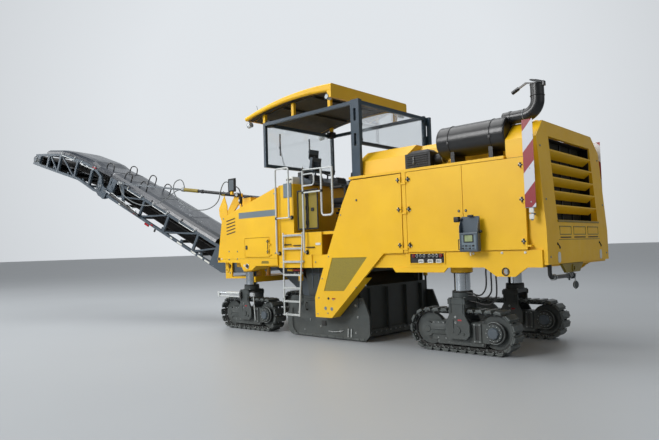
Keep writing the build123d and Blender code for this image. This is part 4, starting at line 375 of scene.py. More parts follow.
def coated(name, colour, worn, roughness, patch, grain, depth, metallic=0.0, dust=0.25, dust_colour="8b8475", coat=0.0):
    """A coated or bare surface: two tones in patches, dust that gathers low down, and a fine grain in its relief."""
    material, tree, surface, where = started(name, Metallic=metallic, Coat_Weight=coat, Coat_Roughness=0.12)
    patches = add(tree, "ShaderNodeTexNoise", Vector=where, Scale=per_metre(patch), Detail=4.0, Roughness=0.6)
    tones = add(tree, "ShaderNodeMapRange", Value=patches.outputs["Fac"], From_Min=0.35, From_Max=0.7)
    base = mixed(tree, tones.outputs[0], colour, linear(worn))
    height = add(tree, "ShaderNodeSeparateXYZ", Vector=where).outputs["Z"]
    low = add(tree, "ShaderNodeMapRange", Value=height, From_Min=DUST_HEIGHT, From_Max=0.0, To_Min=0.0, To_Max=dust)
    specks = add(tree, "ShaderNodeTexNoise", Vector=where, Scale=per_metre(patch * 0.22), Detail=6.0, Roughness=0.7)
    dusty = add(tree, "ShaderNodeMath", {"operation": "MULTIPLY"}, i0=low.outputs[0], i1=specks.outputs["Fac"])
    tinted(tree, surface, dusty.outputs[0], base, linear(dust_colour))
    rough = add(tree, "ShaderNodeMapRange", Value=specks.outputs["Fac"], From_Min=0.3, From_Max=0.75,
                To_Min=max(0.05, roughness - 0.07), To_Max=min(1.0, roughness + 0.1))
    tree.links.new(rough.outputs[0], surface.inputs["Roughness"])
    fine = add(tree, "ShaderNodeTexNoise", Vector=where, Scale=per_metre(grain), Detail=3.0)
    embossed(tree, surface, 0.35, depth / 1000, fine.outputs["Fac"])
    FINISH[name] = material


# name, colour, worn tone, roughness, patch mm, grain mm, grain depth mm, metallic, dust, dust colour, clear coat
COATINGS = (
    # two-pack enamel sprayed on sheet steel: a smooth gloss with faint orange peel, chalkier where dust settles
    ("yellow", "f0bd0a", "e4b008", 0.42, 900.0, 9.0, 0.05, 0.0, 0.20, "9b8a52", 0.05),
    # the same yellow enamel with painted shade, darkened to olive as on the shaded cowl, and under brushes of dirt
    ("olive_enamel", "8d7a1c", "7d6c1a", 0.42, 500.0, 9.0, 0.05, 0.0, 0.2, "7a7044", 0.1),
    # slate powder coat on frames: satin and slightly pebbled
    ("slate_steel", "4a5660", "3e4953", 0.42, 500.0, 5.0, 0.12, 0.0, 0.2, "8b8475", 0.1),
    # blue-grey powder coat on the canopy's posts: satin, and cleaner than the frames lower down
    ("blue_steel", "273c4e", "22343f", 0.36, 500.0, 5.0, 0.08, 0.0, 0.1, "8b8475", 0.15),
    # dark blue enamel on the conveyor's covers: deep and glossy
    ("navy_hood", "0f1823", "162230", 0.30, 700.0, 12.0, 0.05, 0.0, 0.15, "6f7378", 0.2),
    # grey-green machine enamel over castings: dull, with ground-in dirt
    ("grey_steel", "363f41", "2b3233", 0.50, 260.0, 6.0, 0.25, 0.0, 0.55, "6b6a62", 0.0),
    # forged track steel: rubbed bright on its faces and dusty between
    ("track_steel", "3e4648", "5d6363", 0.46, 90.0, 7.0, 0.5, 0.35, 0.5, "77756c", 0.0),
    # cast iron with a burnt oil film: almost black
    ("dark_iron", "1d1f21", "2a2c2e", 0.55, 160.0, 5.0, 0.4, 0.2, 0.45, "5b5850", 0.0),
    # black enamel on tube and sheet
    ("black_steel", "0c0d0f", "151719", 0.34, 420.0, 7.0, 0.08, 0.0, 0.15, "6b6a62", 0.15),
    # moulded black plastic: fine leather texture
    ("black_plastic", "111214", "1a1b1d", 0.55, 300.0, 2.5, 0.2, 0.0, 0.2, "6b6a62", 0.0),
    # conveyor rubber: matt, with a grey bloom of dust
    ("belt_rubber", "1c1b1a", "2b2927", 0.78, 180.0, 4.0, 0.4, 0.0, 0.3, "6b6358", 0.0),
    # hard chromed rod: mirror bright with an oil film
    ("chrome", "c9ced2", "b6bcc1", 0.13, 300.0, 40.0, 0.02, 1.0, 0.1, "8b8475", 0.0),
    # white powder coat on tube rails
    ("white_tube", "cfd3d2", "bcc1c0", 0.36, 300.0, 6.0, 0.06, 0.0, 0.2, "8b8475", 0.1),
    # zinc-plated fasteners: pale and slightly cloudy
    ("zinc_steel", "a9acab", "8d9192", 0.36, 60.0, 4.0, 0.1, 0.9, 0.2, "8b8475", 0.0),
    # white moulded plastic plugs and labels left bare
    ("white_plastic", "d9dad4", "cbccc6", 0.45, 120.0, 4.0, 0.08, 0.0, 0.15, "8b8475", 0.0),
    # red moulded plastic caps and levers
    ("red_plastic", "a3231b", "8d1c16", 0.38, 120.0, 4.0, 0.08, 0.0, 0.1, "8b8475", 0.1),
    # blue-grey decal film laid on the enamel
    ("grey_film", "6d7c84", "65747c", 0.4, 600.0, 30.0, 0.02, 0.0, 0.05, "8b8475", 0.1),
    # grey braided hydraulic hose cover
    ("hose_grey", "74797a", "63686a", 0.6, 60.0, 3.0, 0.3, 0.0, 0.2, "6b6358", 0.0),
    # black rubber hydraulic hose
    ("hose_black", "131415", "1d1e20", 0.52, 60.0, 3.0, 0.25, 0.0, 0.25, "6b6358", 0.0),
    # painted shade: the roof shell's underside and its liner darkened to a dark brown, as they lie in shade
    ("roof_liner", "2b2a22", "38362a", 0.7, 200.0, 5.0, 0.3, 0.0, 0.0, "6b6358", 0.0),
    # woven seat cloth backed with foam
    ("seat_cover", "1d1f22", "282b2f", 0.85, 90.0, 3.0, 0.5, 0.0, 0.05, "6b6358", 0.0),
)


def enamel_and_metal_finishes():
    """The coated and bare surfaces, three of them in the user's colours."""
    colours = bpy.context.scene.planer_colours
    chosen = {"yellow": colours.body, "slate_steel": colours.frames, "navy_hood": colours.covers}
    for name, colour, *rest in COATINGS:
        coated(name, [*chosen[name], 1.0] if name in chosen else linear(colour), *rest)


STRIPE_PERIOD = 540.0     # millimetres
STRIPE_SLOPE = 1.15
DUST_HEIGHT = 1.3         # how far up from the ground dust has settled, in metres


def board_finish():
    """Retroreflective sheeting with diagonal stripes that run down and outwards on both boards."""
    material, tree, surface, where = started("striped_sheeting", Roughness=0.38, Coat_Weight=0.3)
    split = add(tree, "ShaderNodeSeparateXYZ", Vector=where)
    side = add(tree, "ShaderNodeMath", {"operation": "GREATER_THAN"}, i0=split.outputs["Y"], i1=MACHINE.translation.y)
    sign = add(tree, "ShaderNodeMapRange", Value=side.outputs[0], To_Min=-STRIPE_SLOPE, To_Max=STRIPE_SLOPE)
    shift = add(tree, "ShaderNodeMath", {"operation": "MULTIPLY"}, i0=split.outputs["X"], i1=sign.outputs[0])
    along = add(tree, "ShaderNodeMath", {"operation": "ADD"}, i0=split.outputs["Z"], i1=shift.outputs[0])
    start = add(tree, "ShaderNodeMath", {"operation": "ADD"}, i0=along.outputs[0], i1=0.143)
    period = add(tree, "ShaderNodeMath", {"operation": "MULTIPLY"}, i0=start.outputs[0], i1=per_metre(STRIPE_PERIOD))
    turn = add(tree, "ShaderNodeMath", {"operation": "FRACT"}, i0=period.outputs[0])
    dark = add(tree, "ShaderNodeMath", {"operation": "GREATER_THAN"}, i0=turn.outputs[0], i1=0.5)
    stripes = mixed(tree, dark.outputs[0], linear("c8cbd2"), linear("8c0f22"))
    cells = add(tree, "ShaderNodeTexVoronoi", Vector=where, Scale=per_metre(7.0))
    fade = add(tree, "ShaderNodeMapRange", Value=cells.outputs["Distance"], To_Max=0.05)
    tinted(tree, surface, fade.outputs[0], stripes, linear("8b8475"))
    embossed(tree, surface, 0.2, 0.0002, cells.outputs["Distance"])
    FINISH["board_white"] = material


def sheet_finish():
    """Pierced sheet steel: round holes in staggered rows, drawn at a pitch coarse enough to show; the holes' dark is
    painted shade of the space behind, and the sheet between is the yellow with painted shade.
    """
    material, tree, surface, where = started("pierced_sheet", Roughness=0.5)
    pitch = bpy.context.scene.planer_sizes.hole_pitch * 1000
    cells = add(tree, "ShaderNodeTexVoronoi", Vector=where, Scale=per_metre(pitch), Randomness=0.15)
    holes = add(tree, "ShaderNodeMapRange", Value=cells.outputs["Distance"], From_Min=0.32, From_Max=0.42)
    tinted(tree, surface, holes.outputs[0], linear("2a270f"), linear("8c7c1e"))
    embossed(tree, surface, 0.5, 0.002, holes.outputs[0])
    FINISH["pierced_sheet"] = material


def radiator_finish():
    """Radiator core: bands drawn coarser than the fins are so that they show, the dark ones painted shade between the
    fins and the paler ones a dusty face.
    """
    material, tree, surface, where = started("radiator_core", Roughness=0.7, Metallic=0.2)
    fins = add(tree, "ShaderNodeTexWave", {"bands_direction": "Z"}, Vector=where, Scale=per_metre(75.0), Distortion=0.0)
    dust = add(tree, "ShaderNodeTexNoise", Vector=where, Scale=per_metre(220.0), Detail=5.0)
    tone = add(tree, "ShaderNodeMath", {"operation": "MULTIPLY"}, i0=fins.outputs["Fac"], i1=dust.outputs["Fac"])
    tinted(tree, surface, tone.outputs[0], linear("15150f"), linear("4a4528"))
    embossed(tree, surface, 0.6, 0.004, fins.outputs["Fac"])
    FINISH["radiator_core"] = material


def clear_finishes():
    """Glass, lamp lenses, the mirror's face, displays and reflectors."""
    material, tree, surface, where = started("glass", Roughness=0.04, IOR=1.5, Transmission_Weight=1.0, Alpha=0.35)
    smear = add(tree, "ShaderNodeTexNoise", Vector=where, Scale=per_metre(400.0), Detail=5.0)
    tinted(tree, surface, smear.outputs["Fac"], linear("dce8ee"), linear("c5d5dc"))
    FINISH["glass"] = material
    for name, first, second, rough, metallic, cell in (
        ("lamp", "e8edf0", "9aa2a8", 0.12, 0.0, 14.0),
        ("mirror_face", "dfe7ec", "c9d4db", 0.03, 1.0, 300.0),
        ("display_face", "a9b488", "8b9870", 0.18, 0.0, 60.0),
        ("screen_face", "2a3640", "1c252d", 0.12, 0.0, 90.0),
        ("red_lens", "b3202a", "8a1219", 0.15, 0.0, 9.0),
        ("amber_lens", "d9771c", "b85f10", 0.15, 0.0, 9.0),
    ):
        material, tree, surface, where = started(name, Roughness=rough, Metallic=metallic, Coat_Weight=0.5)
        cells = add(tree, "ShaderNodeTexVoronoi", Vector=where, Scale=per_metre(cell))
        tinted(tree, surface, cells.outputs["Distance"], linear(first), linear(second))
        embossed(tree, surface, 0.15, 0.0005, cells.outputs["Distance"])
        FINISH[name] = material


# CAD nodes with another finish than the one their slot is named after
# the hitch bracket gets olive_enamel, the yellow enamel with painted shade
NODE_FINISH = {"canopy_frame": "blue_steel", "hitch_bracket": "olive_enamel"}


def dress_cad_nodes():
    """Gives every CAD node the finish of its material slot."""
    for name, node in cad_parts.items():
        for place in node.material_slots:
            place.material = FINISH[NODE_FINISH.get(name, place.material.name.split(".")[0])]


# ---- crawlers ----
def track_stations(count, straight, lift):
    """Places round a track for its shoes, whose chain runs at a lift from the track's middle line."""
    turn = pi * lift
    length = 4 * straight + 2 * turn
    places = []
    for i in range(count):
        along = (i + 0.5) * length / count
        if along < 2 * straight:
            places.append(moved(-straight + along, 0, 0))
        elif along < 2 * straight + turn:
            places.append(moved(straight, 0, 0) @ turned(-(along - 2 * straight) / lift * 180 / pi, "Y"))
        elif along < 4 * straight + turn:
            places.append(moved(3 * straight + turn - along, 0, 0) @ turned(180, "Y"))
        else:
            places.append(moved(-straight, 0, 0) @ turned(-(along - 4 * straight - turn) / lift * 180 / pi - 180, "Y"))
    return places


def track_shoe(radius, half_width):
    """One shoe with its grouser, bolts, chain links and pin, outwards along -Z."""
    parts = [
        block((-0.062, -half_width, -radius + 0.026), (0.062, half_width, -radius + 0.044), "track_steel", 0.004),
        tapered((-0.050, -half_width + 0.006, -radius), (0.050, half_width - 0.006, -radius + 0.028), (0, 0, -1),
                (0.82, 0.98, 1), "track_steel", 0.003),
    ]
    for y in (-0.062, 0.062):
        parts += [
            block((-0.068, y - 0.009, -radius + 0.044), (0.068, y + 0.009, -radius + 0.082), "dark_iron", 0.006),
            barrel((0.0705, y - 0.02, -radius + 0.062), (0.0705, y + 0.02, -radius + 0.062), 0.021, "track_steel", 10),
        ]
        for x in (-0.03, 0.03):
            parts.append(barrel((x, y * 1.65, -radius + 0.044), (x, y * 1.65, -radius + 0.054), 0.010, "zinc_steel", 6,
                                0.001))
    return parts


def crawler_tracks():
    """The four tracks, shoe by shoe."""
    sizes = bpy.context.scene.planer_sizes
    for name in CRAWLERS:
        place, radius, straight = crawler_frame(name)
        stations = track_stations(sizes.shoes, straight, radius - CHAIN_LIFT)
        shoes = set_out(track_shoe(radius, SHOE_HALF), stations)
        track = fitted("track_shoes_" + name, shoes, "crawler_" + name, place)
        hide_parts("track_" + name)


def crawler_gear():
    """Hubs, covers, roller caps, guards and yoke bolts on the crawler frames."""
    for name in CRAWLERS:
        place, _, straight = crawler_frame(name)
        parts = []
        drive = -straight
        for rim, out, thick, finish in ((0.165, 0.112, 0.022, "dark_iron"), (0.125, 0.140, 0.030, "grey_steel")):
            parts.append(barrel((drive, out - thick, 0), (drive, out, 0), rim, finish, 32, 0.004))
        parts.append(barrel((drive, 0.130, 0), (drive, 0.172, 0), 0.088, "slate_steel", 8, 0.006, 0.080))
        for turn in range(12):
            x, z = drive + 0.108 * cos(turn * pi / 6), 0.108 * sin(turn * pi / 6)
            parts += bolt((x, 0.140, z), (0, 1, 0), 0.009, "zinc_steel", False)
        parts += [
            ring((drive, 0.112, 0), (0, 1, 0), 0.150, 0.010, "track_steel"),
            barrel((straight, 0.09, 0), (straight, 0.128, 0), 0.095, "dark_iron", 28, 0.005),
            barrel((straight, 0.12, 0), (straight, 0.142, 0), 0.050, "grey_steel", 20, 0.006),
            recessed((-0.345, 0.120, -0.150), (-0.215, 0.140, 0.125), (0, 1, 0), 0.036, 0.012, "grey_steel",
                     "black_plastic"),
            block((0.215, 0.120, -0.070), (0.470, 0.146, 0.085), "grey_steel", 0.010, 2),
            block((0.235, 0.120, 0.070), (0.450, 0.138, 0.125), "grey_steel", 0.004),
            barrel((0.225, 0.146, 0.01), (0.455, 0.146, 0.01), 0.014, "grey_steel", 10),
        ]
        for x in (0.26, 0.34, 0.42):
            parts += bolt((x, 0.138, 0.105), (0, 1, 0), 0.008)
        for x, z in ((-0.32, 0.105), (-0.24, 0.105), (-0.32, -0.13), (-0.24, -0.13), (0.23, -0.12), (0.36, -0.12)):
            parts += bolt((x, 0.140 if x < 0 else 0.125, z), (0, 1, 0), 0.008)
        pitch = 2 * straight / 6
        for i in range(5):
            x = (i - 2) * pitch
            parts += [
                barrel((x, 0.060, -0.172), (x, 0.112, -0.172), 0.044, "dark_iron", 18, 0.005),
                barrel((x, 0.108, -0.172), (x, 0.124, -0.172), 0.022, "track_steel", 12, 0.004),
            ]
        parts.append(block((-0.36, 0.110, -0.205), (0.36, 0.121, -0.148), "grey_steel", 0.003))
        # on the yoke's arm: lock bolts, a small reflector and two flat bars
        for z in (0.125, 0.205):
            parts += bolt((0.02, 0.198, z), (0, 1, 0), 0.013)
        parts += [
            block((-0.075, 0.198, 0.150), (-0.015, 0.201, 0.172), "red_lens", 0.001),
            block((0.055, 0.197, -0.02), (0.078, 0.206, 0.17), "grey_steel", 0.004),
        ]
        parts += bolt((-0.10, 0.198, -0.03), (0, 1, 0), 0.016, "grey_steel")
        parts.append(block((-0.14, 0.196, 0.385), (0.14, 0.204, 0.46), "grey_steel", 0.004))
        parts = both_sides(parts)
        for x, y in ((-0.10, 0.13), (0.10, 0.13), (-0.10, -0.13), (0.10, -0.13)):
            parts += bolt((x, y, 0.477), (0, 0, 1), 0.012)
        parts.append(ring((0, 0, 0.56), (0, 0, 1), 0.137, 0.012, "dark_iron"))
        fitted("crawler_gear_" + name, parts, "crawler_" + name, place)


def steering_gear():
    """The steering cylinder, its bar and brackets beside the front left crawler, and an upright rod."""
    place = crawler_frame("front_left")[0]
    parts = [
        barrel((0.10, 0.222, 0.405), (0.52, 0.222, 0.405), 0.030, "white_tube", 20, 0.006),
        barrel((0.50, 0.222, 0.405), (0.80, 0.222, 0.405), 0.017, "chrome", 16),
        barrel((0.06, 0.222, 0.335), (0.78, 0.222, 0.335), 0.014, "white_tube", 14),
        recessed((0.76, 0.204, 0.320), (0.82, 0.242, 0.425), (1, 0, 0), 0.010, 0.006, "white_tube", "dark_iron"),
        block((0.06, 0.170, 0.300), (0.11, 0.242, 0.440), "dark_iron", 0.006),
        block((-0.13, 0.176, 0.330), (0.08, 0.200, 0.400), "grey_steel", 0.004),
    ]
    for z in (0.315, 0.425):
        parts += bolt((0.085, 0.242, z), (0, 1, 0), 0.010)
    parts += [
        barrel((-0.30, 0.222, 0.44), (-0.36, 0.232, -0.10), 0.009, "white_tube", 12),
        block((-0.315, 0.150, 0.425), (-0.285, 0.236, 0.445), "dark_iron", 0.003),
        block((-0.315, 0.140, 0.425), (-0.10, 0.160, 0.445), "dark_iron", 0.003),
    ]
    fitted("steering_gear", parts, "crawler_front_left", place)


def column_seals():
    """Wiper seals and bolt circles where the lifting columns leave their guides."""
    parts = []
    for x in (1.41, 6.17):
        parts.append(ring((x, 0.87, 1.150), (0, 0, 1), 0.131, 0.013, "black_plastic"))
        for turn in range(8):
            place = (x + 0.146 * cos(turn * pi / 4), 0.87 + 0.146 * sin(turn * pi / 4), 1.150)
            parts += bolt(place, (0, 0, -1), 0.008)
    fitted("column_seals", both_sides(parts), "machine")


# ---- bodywork ----
def star_hinge(x, z, face):
    """A cross-shaped hinge cover with a pale cap, standing on a door's face."""
    parts = [block((x - 0.034, face, z - 0.010), (x + 0.034, face + 0.020, z + 0.010), "black_plastic", 0.003),
             block((x - 0.010, face, z - 0.036), (x + 0.010, face + 0.022, z + 0.036), "black_plastic", 0.003),
             barrel((x, face + 0.018, z), (x, face + 0.028, z), 0.011, "zinc_steel", 8, 0.002)]
    for dx, dz in ((0.024, 0.024), (-0.024, -0.024)):
        parts.append(barrel((x + dx, face, z + dz), (x + dx, face + 0.008, z + dz), 0.008, "white_plastic", 8, 0.001))
    return parts


DOORS = (
    # door, x of its hinge covers, x and z of its lock, side
    ("door_left_rear", 0.272, (1.09, 2.02), LEFT),
    ("door_left_front", 2.034, (1.20, 2.02), LEFT),
    ("belt_guard", 2.214, (3.05, 2.32), LEFT),
    ("door_right_rear", 0.272, (1.09, 2.02), RIGHT),
    ("door_right_front", 2.034, (1.20, 2.02), RIGHT),
    ("door_right_middle", 2.214, (3.05, 2.32), RIGHT),
)
DOOR_HEIGHTS = (1.568, 2.107, 2.556)


def door_fittings():
    """Hinge covers and locks on the side doors."""
    for body, hinge_x, lock, side in DOORS:
        parts = []
        for z in DOOR_HEIGHTS:
            parts += star_hinge(hinge_x, z, BODY_HALF + 0.0005)
        x, z = lock
        parts += [
            barrel((x, BODY_HALF, z), (x, BODY_HALF + 0.006, z), 0.019, "black_plastic", 20, 0.002),
            block((x - 0.004, BODY_HALF + 0.004, z - 0.010), (x + 0.004, BODY_HALF + 0.009, z + 0.010), "zinc_steel",
                  0.001),
        ]
        if side == RIGHT:
            parts = set_out(parts, [MIRROR])
        fitted(body + "_fittings", parts, body)


def door_gap_shade():
    """Dark strips behind the gaps between the doors: painted shade in the gaps."""
    parts = []
    for x in (1.139, 2.082, 2.161):
        parts.append(block((x - 0.016, 1.200, 1.460), (x + 0.016, 1.206, 2.664), "black_plastic", 0.002))
    parts.append(block((0.24, 1.200, 2.655), (3.15, 1.206, 2.672), "black_plastic", 0.002))
    fitted("door_gap_shade_strips", both_sides(parts), "machine")


GUARD_WINDOW = ((3.618, 1.396), (2.877, 1.397), (3.383, 0.852), (3.824, 0.841))


def guard_fittings():
    """The belt guard's pierced window, bolts, plug, lever and two blank plates."""
    parts = [plate(GUARD_WINDOW, 1.2425, 1.2450, "pierced_sheet")]
    parts += side_bolts(((2.909, 0.951), (3.117, 0.914), (3.62, 0.70), (3.86, 1.05), (3.95, 0.72), (3.40, 2.10),
                         (3.70, 1.42), (3.75, 0.47), (3.98, 0.45)), BODY_HALF, 0.009)
    parts += [
        barrel((3.727, BODY_HALF, 0.717), (3.727, BODY_HALF + 0.005, 0.717), 0.022, "black_plastic", 20, 0.002),
        block((3.57, BODY_HALF, 0.705), (3.65, BODY_HALF + 0.002, 0.728), "red_plastic", 0.0008),
    ]
    for x, z in ((3.80, 0.55), (3.66, 0.545)):
        parts.append(barrel((x, BODY_HALF, z), (x, BODY_HALF + 0.003, z), 0.030, "grey_film", 20, 0.001))
    fitted("belt_guard_window", parts, "belt_guard")


def connector_bank():
    """The bank of round hydraulic and electric connectors in its black recess under the doors."""
    face = SILL_HALF
    parts = [recessed((1.460, face - 0.004, 1.285), (2.070, face + 0.014, 1.452), (0, 1, 0), 0.012, 0.012, "yellow",
                      "black_plastic")]
    for i in range(8):
        x = 1.990 - i * 0.062 - (0.03 if i > 3 else 0)
        finish = "red_plastic" if i in (0, 7) else "zinc_steel"
        parts += [
            barrel((x, face, 1.405), (x, face + 0.030, 1.405), 0.025, finish, 16, 0.004),
            barrel((x, face + 0.028, 1.405), (x, face + 0.034, 1.405), 0.014, "black_plastic", 12, 0.002),
        ]
    for x in (1.56, 1.70, 1.86):
        parts.append(recessed((x - 0.045, face, 1.300), (x + 0.045, face + 0.026, 1.352), (0, 1, 0), 0.010, 0.008,
                              "white_plastic", "zinc_steel"))
    parts.append(plate(((1.43, 1.231), (2.40, 1.231), (2.34, 1.160), (1.50, 1.160)), face - 0.028, face - 0.002,
                       "yellow"))
    fitted("connector_bank", parts, "machine")


def lashing_rims():
    """Pressed rims round the lashing eyes, and pale bolts along the sill."""
    parts = [ring((0.56, SILL_HALF + 0.001, 1.176), (0, 1, 0), 0.048, 0.008, "dark_iron")]
    for x in (0.28, 0.60, 1.02):
        parts += bolt((x, SILL_HALF, 1.425), (0, 1, 0), 0.012, "white_plastic")
    fitted("lashing_rims", both_sides(parts), "machine")


def control_panel():
    """The ground operator's panel: a cast case with a display, keys, a sun shade, a side handle and a lamp."""
    y0, y1 = 1.310, 1.400
    parts = [
        recessed((0.850, y0, 1.450), (1.130, y1, 1.711), (0, 1, 0), 0.020, 0.006, "slate_steel", "grey_film", 0.010),
        recessed((0.915, y1 - 0.014, 1.575), (1.065, y1, 1.690), (0, 1, 0), 0.012, 0.005, "black_plastic",
                 "display_face"),
    ]
    for i in range(4):
        for j in range(2):
            x, z = 0.905 + i * 0.052, 1.485 + j * 0.036
            parts.append(tapered((x, y1 - 0.008, z), (x + 0.036, y1, z + 0.024), (0, 1, 0), (0.85, 1, 0.85),
                                 "black_plastic" if (i + j) % 2 else "slate_steel", 0.002))
    parts.append(plate(((0.850, 1.711), (1.130, 1.711), (1.130, 1.925), (1.105, 1.930), (0.875, 1.930), (0.850, 1.925)),
                  y0 + 0.010, y0 + 0.018, "slate_steel"))
    for x in (0.850, 1.122):
        parts.append(plate(((y0 + 0.010, 1.711), (y1, 1.711), (y1 - 0.010, 1.80), (y0 + 0.018, 1.925)), x, x + 0.008,
                           "slate_steel", "X"))
    parts += [
        bow((1.130, y0 + 0.045, 1.48), (1.130, y0 + 0.045, 1.62), (0.035, 0, 0), 0.006, "black_steel"),
        barrel((0.85, y0 + 0.03, 1.72), (0.815, y0 + 0.03, 1.72), 0.020, "black_plastic", 12, 0.004),
        block((1.135, y0 + 0.01, 1.860), (1.215, y0 + 0.075, 1.935), "black_plastic", 0.010, 2),
        block((1.10, y0 + 0.02, 1.885), (1.14, y0 + 0.05, 1.910), "black_plastic", 0.004),
        block((0.93, y0 + 0.02, 1.925), (1.01, y0 + 0.06, 1.950), "black_plastic", 0.006),
        barrel((0.985, BODY_HALF, 1.58), (0.985, y0 + 0.004, 1.58), 0.024, "slate_steel", 16, 0.004),
        barrel((0.985, y0 + 0.05, 1.452), (0.985, y0 + 0.05, 1.395), 0.012, "white_plastic", 12, 0.002, 0.008),
    ]
    panel = fitted("control_panel", parts, "door_left_rear")
    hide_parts("control_box")


def front_fittings():
    """The front body's slots, whose black plates are painted shade, decal band, bolts, eyes and a lower line in painted
    shade on both sides, and its hatches' fittings.
    """
    face = BODY_HALF
    parts = []
    for i in range(5):
        z = 2.150 - i * 0.066
        # each slot is a flat black plate of painted shade under a yellow lip
        slot = ((6.180, z + 0.048), (6.456, z), (6.456, z + 0.020), (6.180, z + 0.068))
        parts.append(plate(slot, face - 0.002, face + 0.002, "black_plastic", "Y", 0))
        lip = ((6.176, z + 0.070), (6.460, z + 0.021), (6.460, z + 0.029), (6.176, z + 0.078))
        parts.append(plate(lip, face - 0.002, face + 0.005, "yellow", "Y", 0.001))
    parts.append(plate(((4.990, 2.190), (6.060, 2.190), (6.060, 2.306), (4.990, 2.306)), face - 0.001, face + 0.0015,
                       "grey_film", "Y", 0))
    parts += side_bolts(((6.39, 1.556), (6.126, 1.551), (6.395, 1.396), (6.131, 1.406), (5.02, 1.50), (5.02, 2.60),
                         (6.55, 2.22)), face, 0.011)
    # the lower line and the small plate in olive_enamel are the yellow enamel with painted shade
    parts += [
        block((4.985, face - 0.001, 1.405), (6.70, face + 0.002, 1.409), "olive_enamel", 0.0005),
        barrel((6.713, face, 1.412), (6.713, face + 0.010, 1.412), 0.048, "yellow", 24, 0.004),
        barrel((6.713, face + 0.008, 1.412), (6.713, face + 0.012, 1.412), 0.034, "black_plastic", 20, 0.001),
        barrel((6.630, face, 1.411), (6.630, face + 0.006, 1.411), 0.018, "white_plastic", 16, 0.002),
        ring((5.833, face + 0.004, 1.263), (0, 1, 0), 0.044, 0.007, "zinc_steel"),
        barrel((5.833, face - 0.004, 1.263), (5.833, face + 0.003, 1.263), 0.040, "black_plastic", 20, 0.001),
        block((5.905, face, 1.255), (5.945, face + 0.003, 1.295), "white_plastic", 0.001),
        plate(((5.20, 1.31), (5.42, 1.31), (5.40, 1.36), (5.22, 1.36)), face - 0.001, face + 0.0012, "olive_enamel",
              "Y", 0),
    ]
    fitted("front_fittings", both_sides(parts), "machine")
    for side, name in ((LEFT, "hatch_left"), (RIGHT, "hatch_right")):
        parts = [block((5.816, face, 1.585), (5.872, face + 0.008, 1.660), "black_plastic", 0.004),
                 block((5.838, face + 0.006, 1.605), (5.850, face + 0.014, 1.642), "zinc_steel", 0.002),
                 block((5.222, face, 1.512), (5.236, face + 0.010, 1.735), "black_plastic", 0.003)]
        for z in (1.530, 1.720):
            parts += star_hinge(5.215, z, face + 0.0005)
        if side == RIGHT:
            parts = set_out(parts, [MIRROR])
        fitted(name + "_fittings", parts, name)


def front_top_gear():
    """Column caps with lifting eyes, the mirror on its arm, the beacon's foot and the front tow eyes."""
    parts = [
        barrel((6.30, 0.80, 2.640), (6.30, 0.80, 2.676), 0.095, "black_plastic", 24, 0.010),
        block((6.13, 0.715, 2.636), (6.40, 0.885, 2.648), "black_plastic", 0.004),
    ]
    for x in (6.17, 6.36):
        for y in (0.735, 0.865):
            parts += bolt((x, y, 2.648), (0, 0, 1), 0.009)
    parts.append(ring((6.02, 1.05, 2.40), (0.26, 0, 0.96), 0.045, 0.012, "yellow"))
    fitted("column_caps", both_sides(parts), "machine")
    parts = [
        pipe(((6.13, 1.10, 2.38), (6.13, 1.13, 2.60), (6.12, 1.16, 2.78), (6.22, 1.18, 2.86), (6.34, 1.19, 2.88)),
             0.012, "black_steel"),
        recessed((6.236, 1.170, 2.755), (6.452, 1.206, 3.022), (0, 1, 0), 0.016, 0.004, "black_plastic", "mirror_face",
                 0.014),
        recessed((6.232, 1.160, 2.751), (6.456, 1.185, 3.026), (-1, 0, 0), 0.010, 0.002, "black_plastic",
                 "mirror_face", 0.008),
        block((6.30, 1.165, 2.70), (6.37, 1.215, 2.755), "yellow", 0.006),
        barrel((6.12, 1.15, 2.500), (6.12, 1.15, 2.640), 0.036, "black_plastic", 16, 0.006),
        barrel((6.12, 1.182, 2.56), (6.12, 1.192, 2.56), 0.022, "lamp", 14, 0.002),
    ]
    parts += bolt((6.13, 1.10, 2.40), (0, 1, 0), 0.012)
    fitted("mirror_and_lamp", parts, "machine")
    parts = [ring((6.646, 1.10, 1.180), (0, 1, 0), 0.040, 0.016, "yellow"),
             block((6.60, 1.085, 1.205), (6.69, 1.115, 1.36), "yellow", 0.006)]
    fitted("front_tow_eyes", both_sides(parts), "machine")


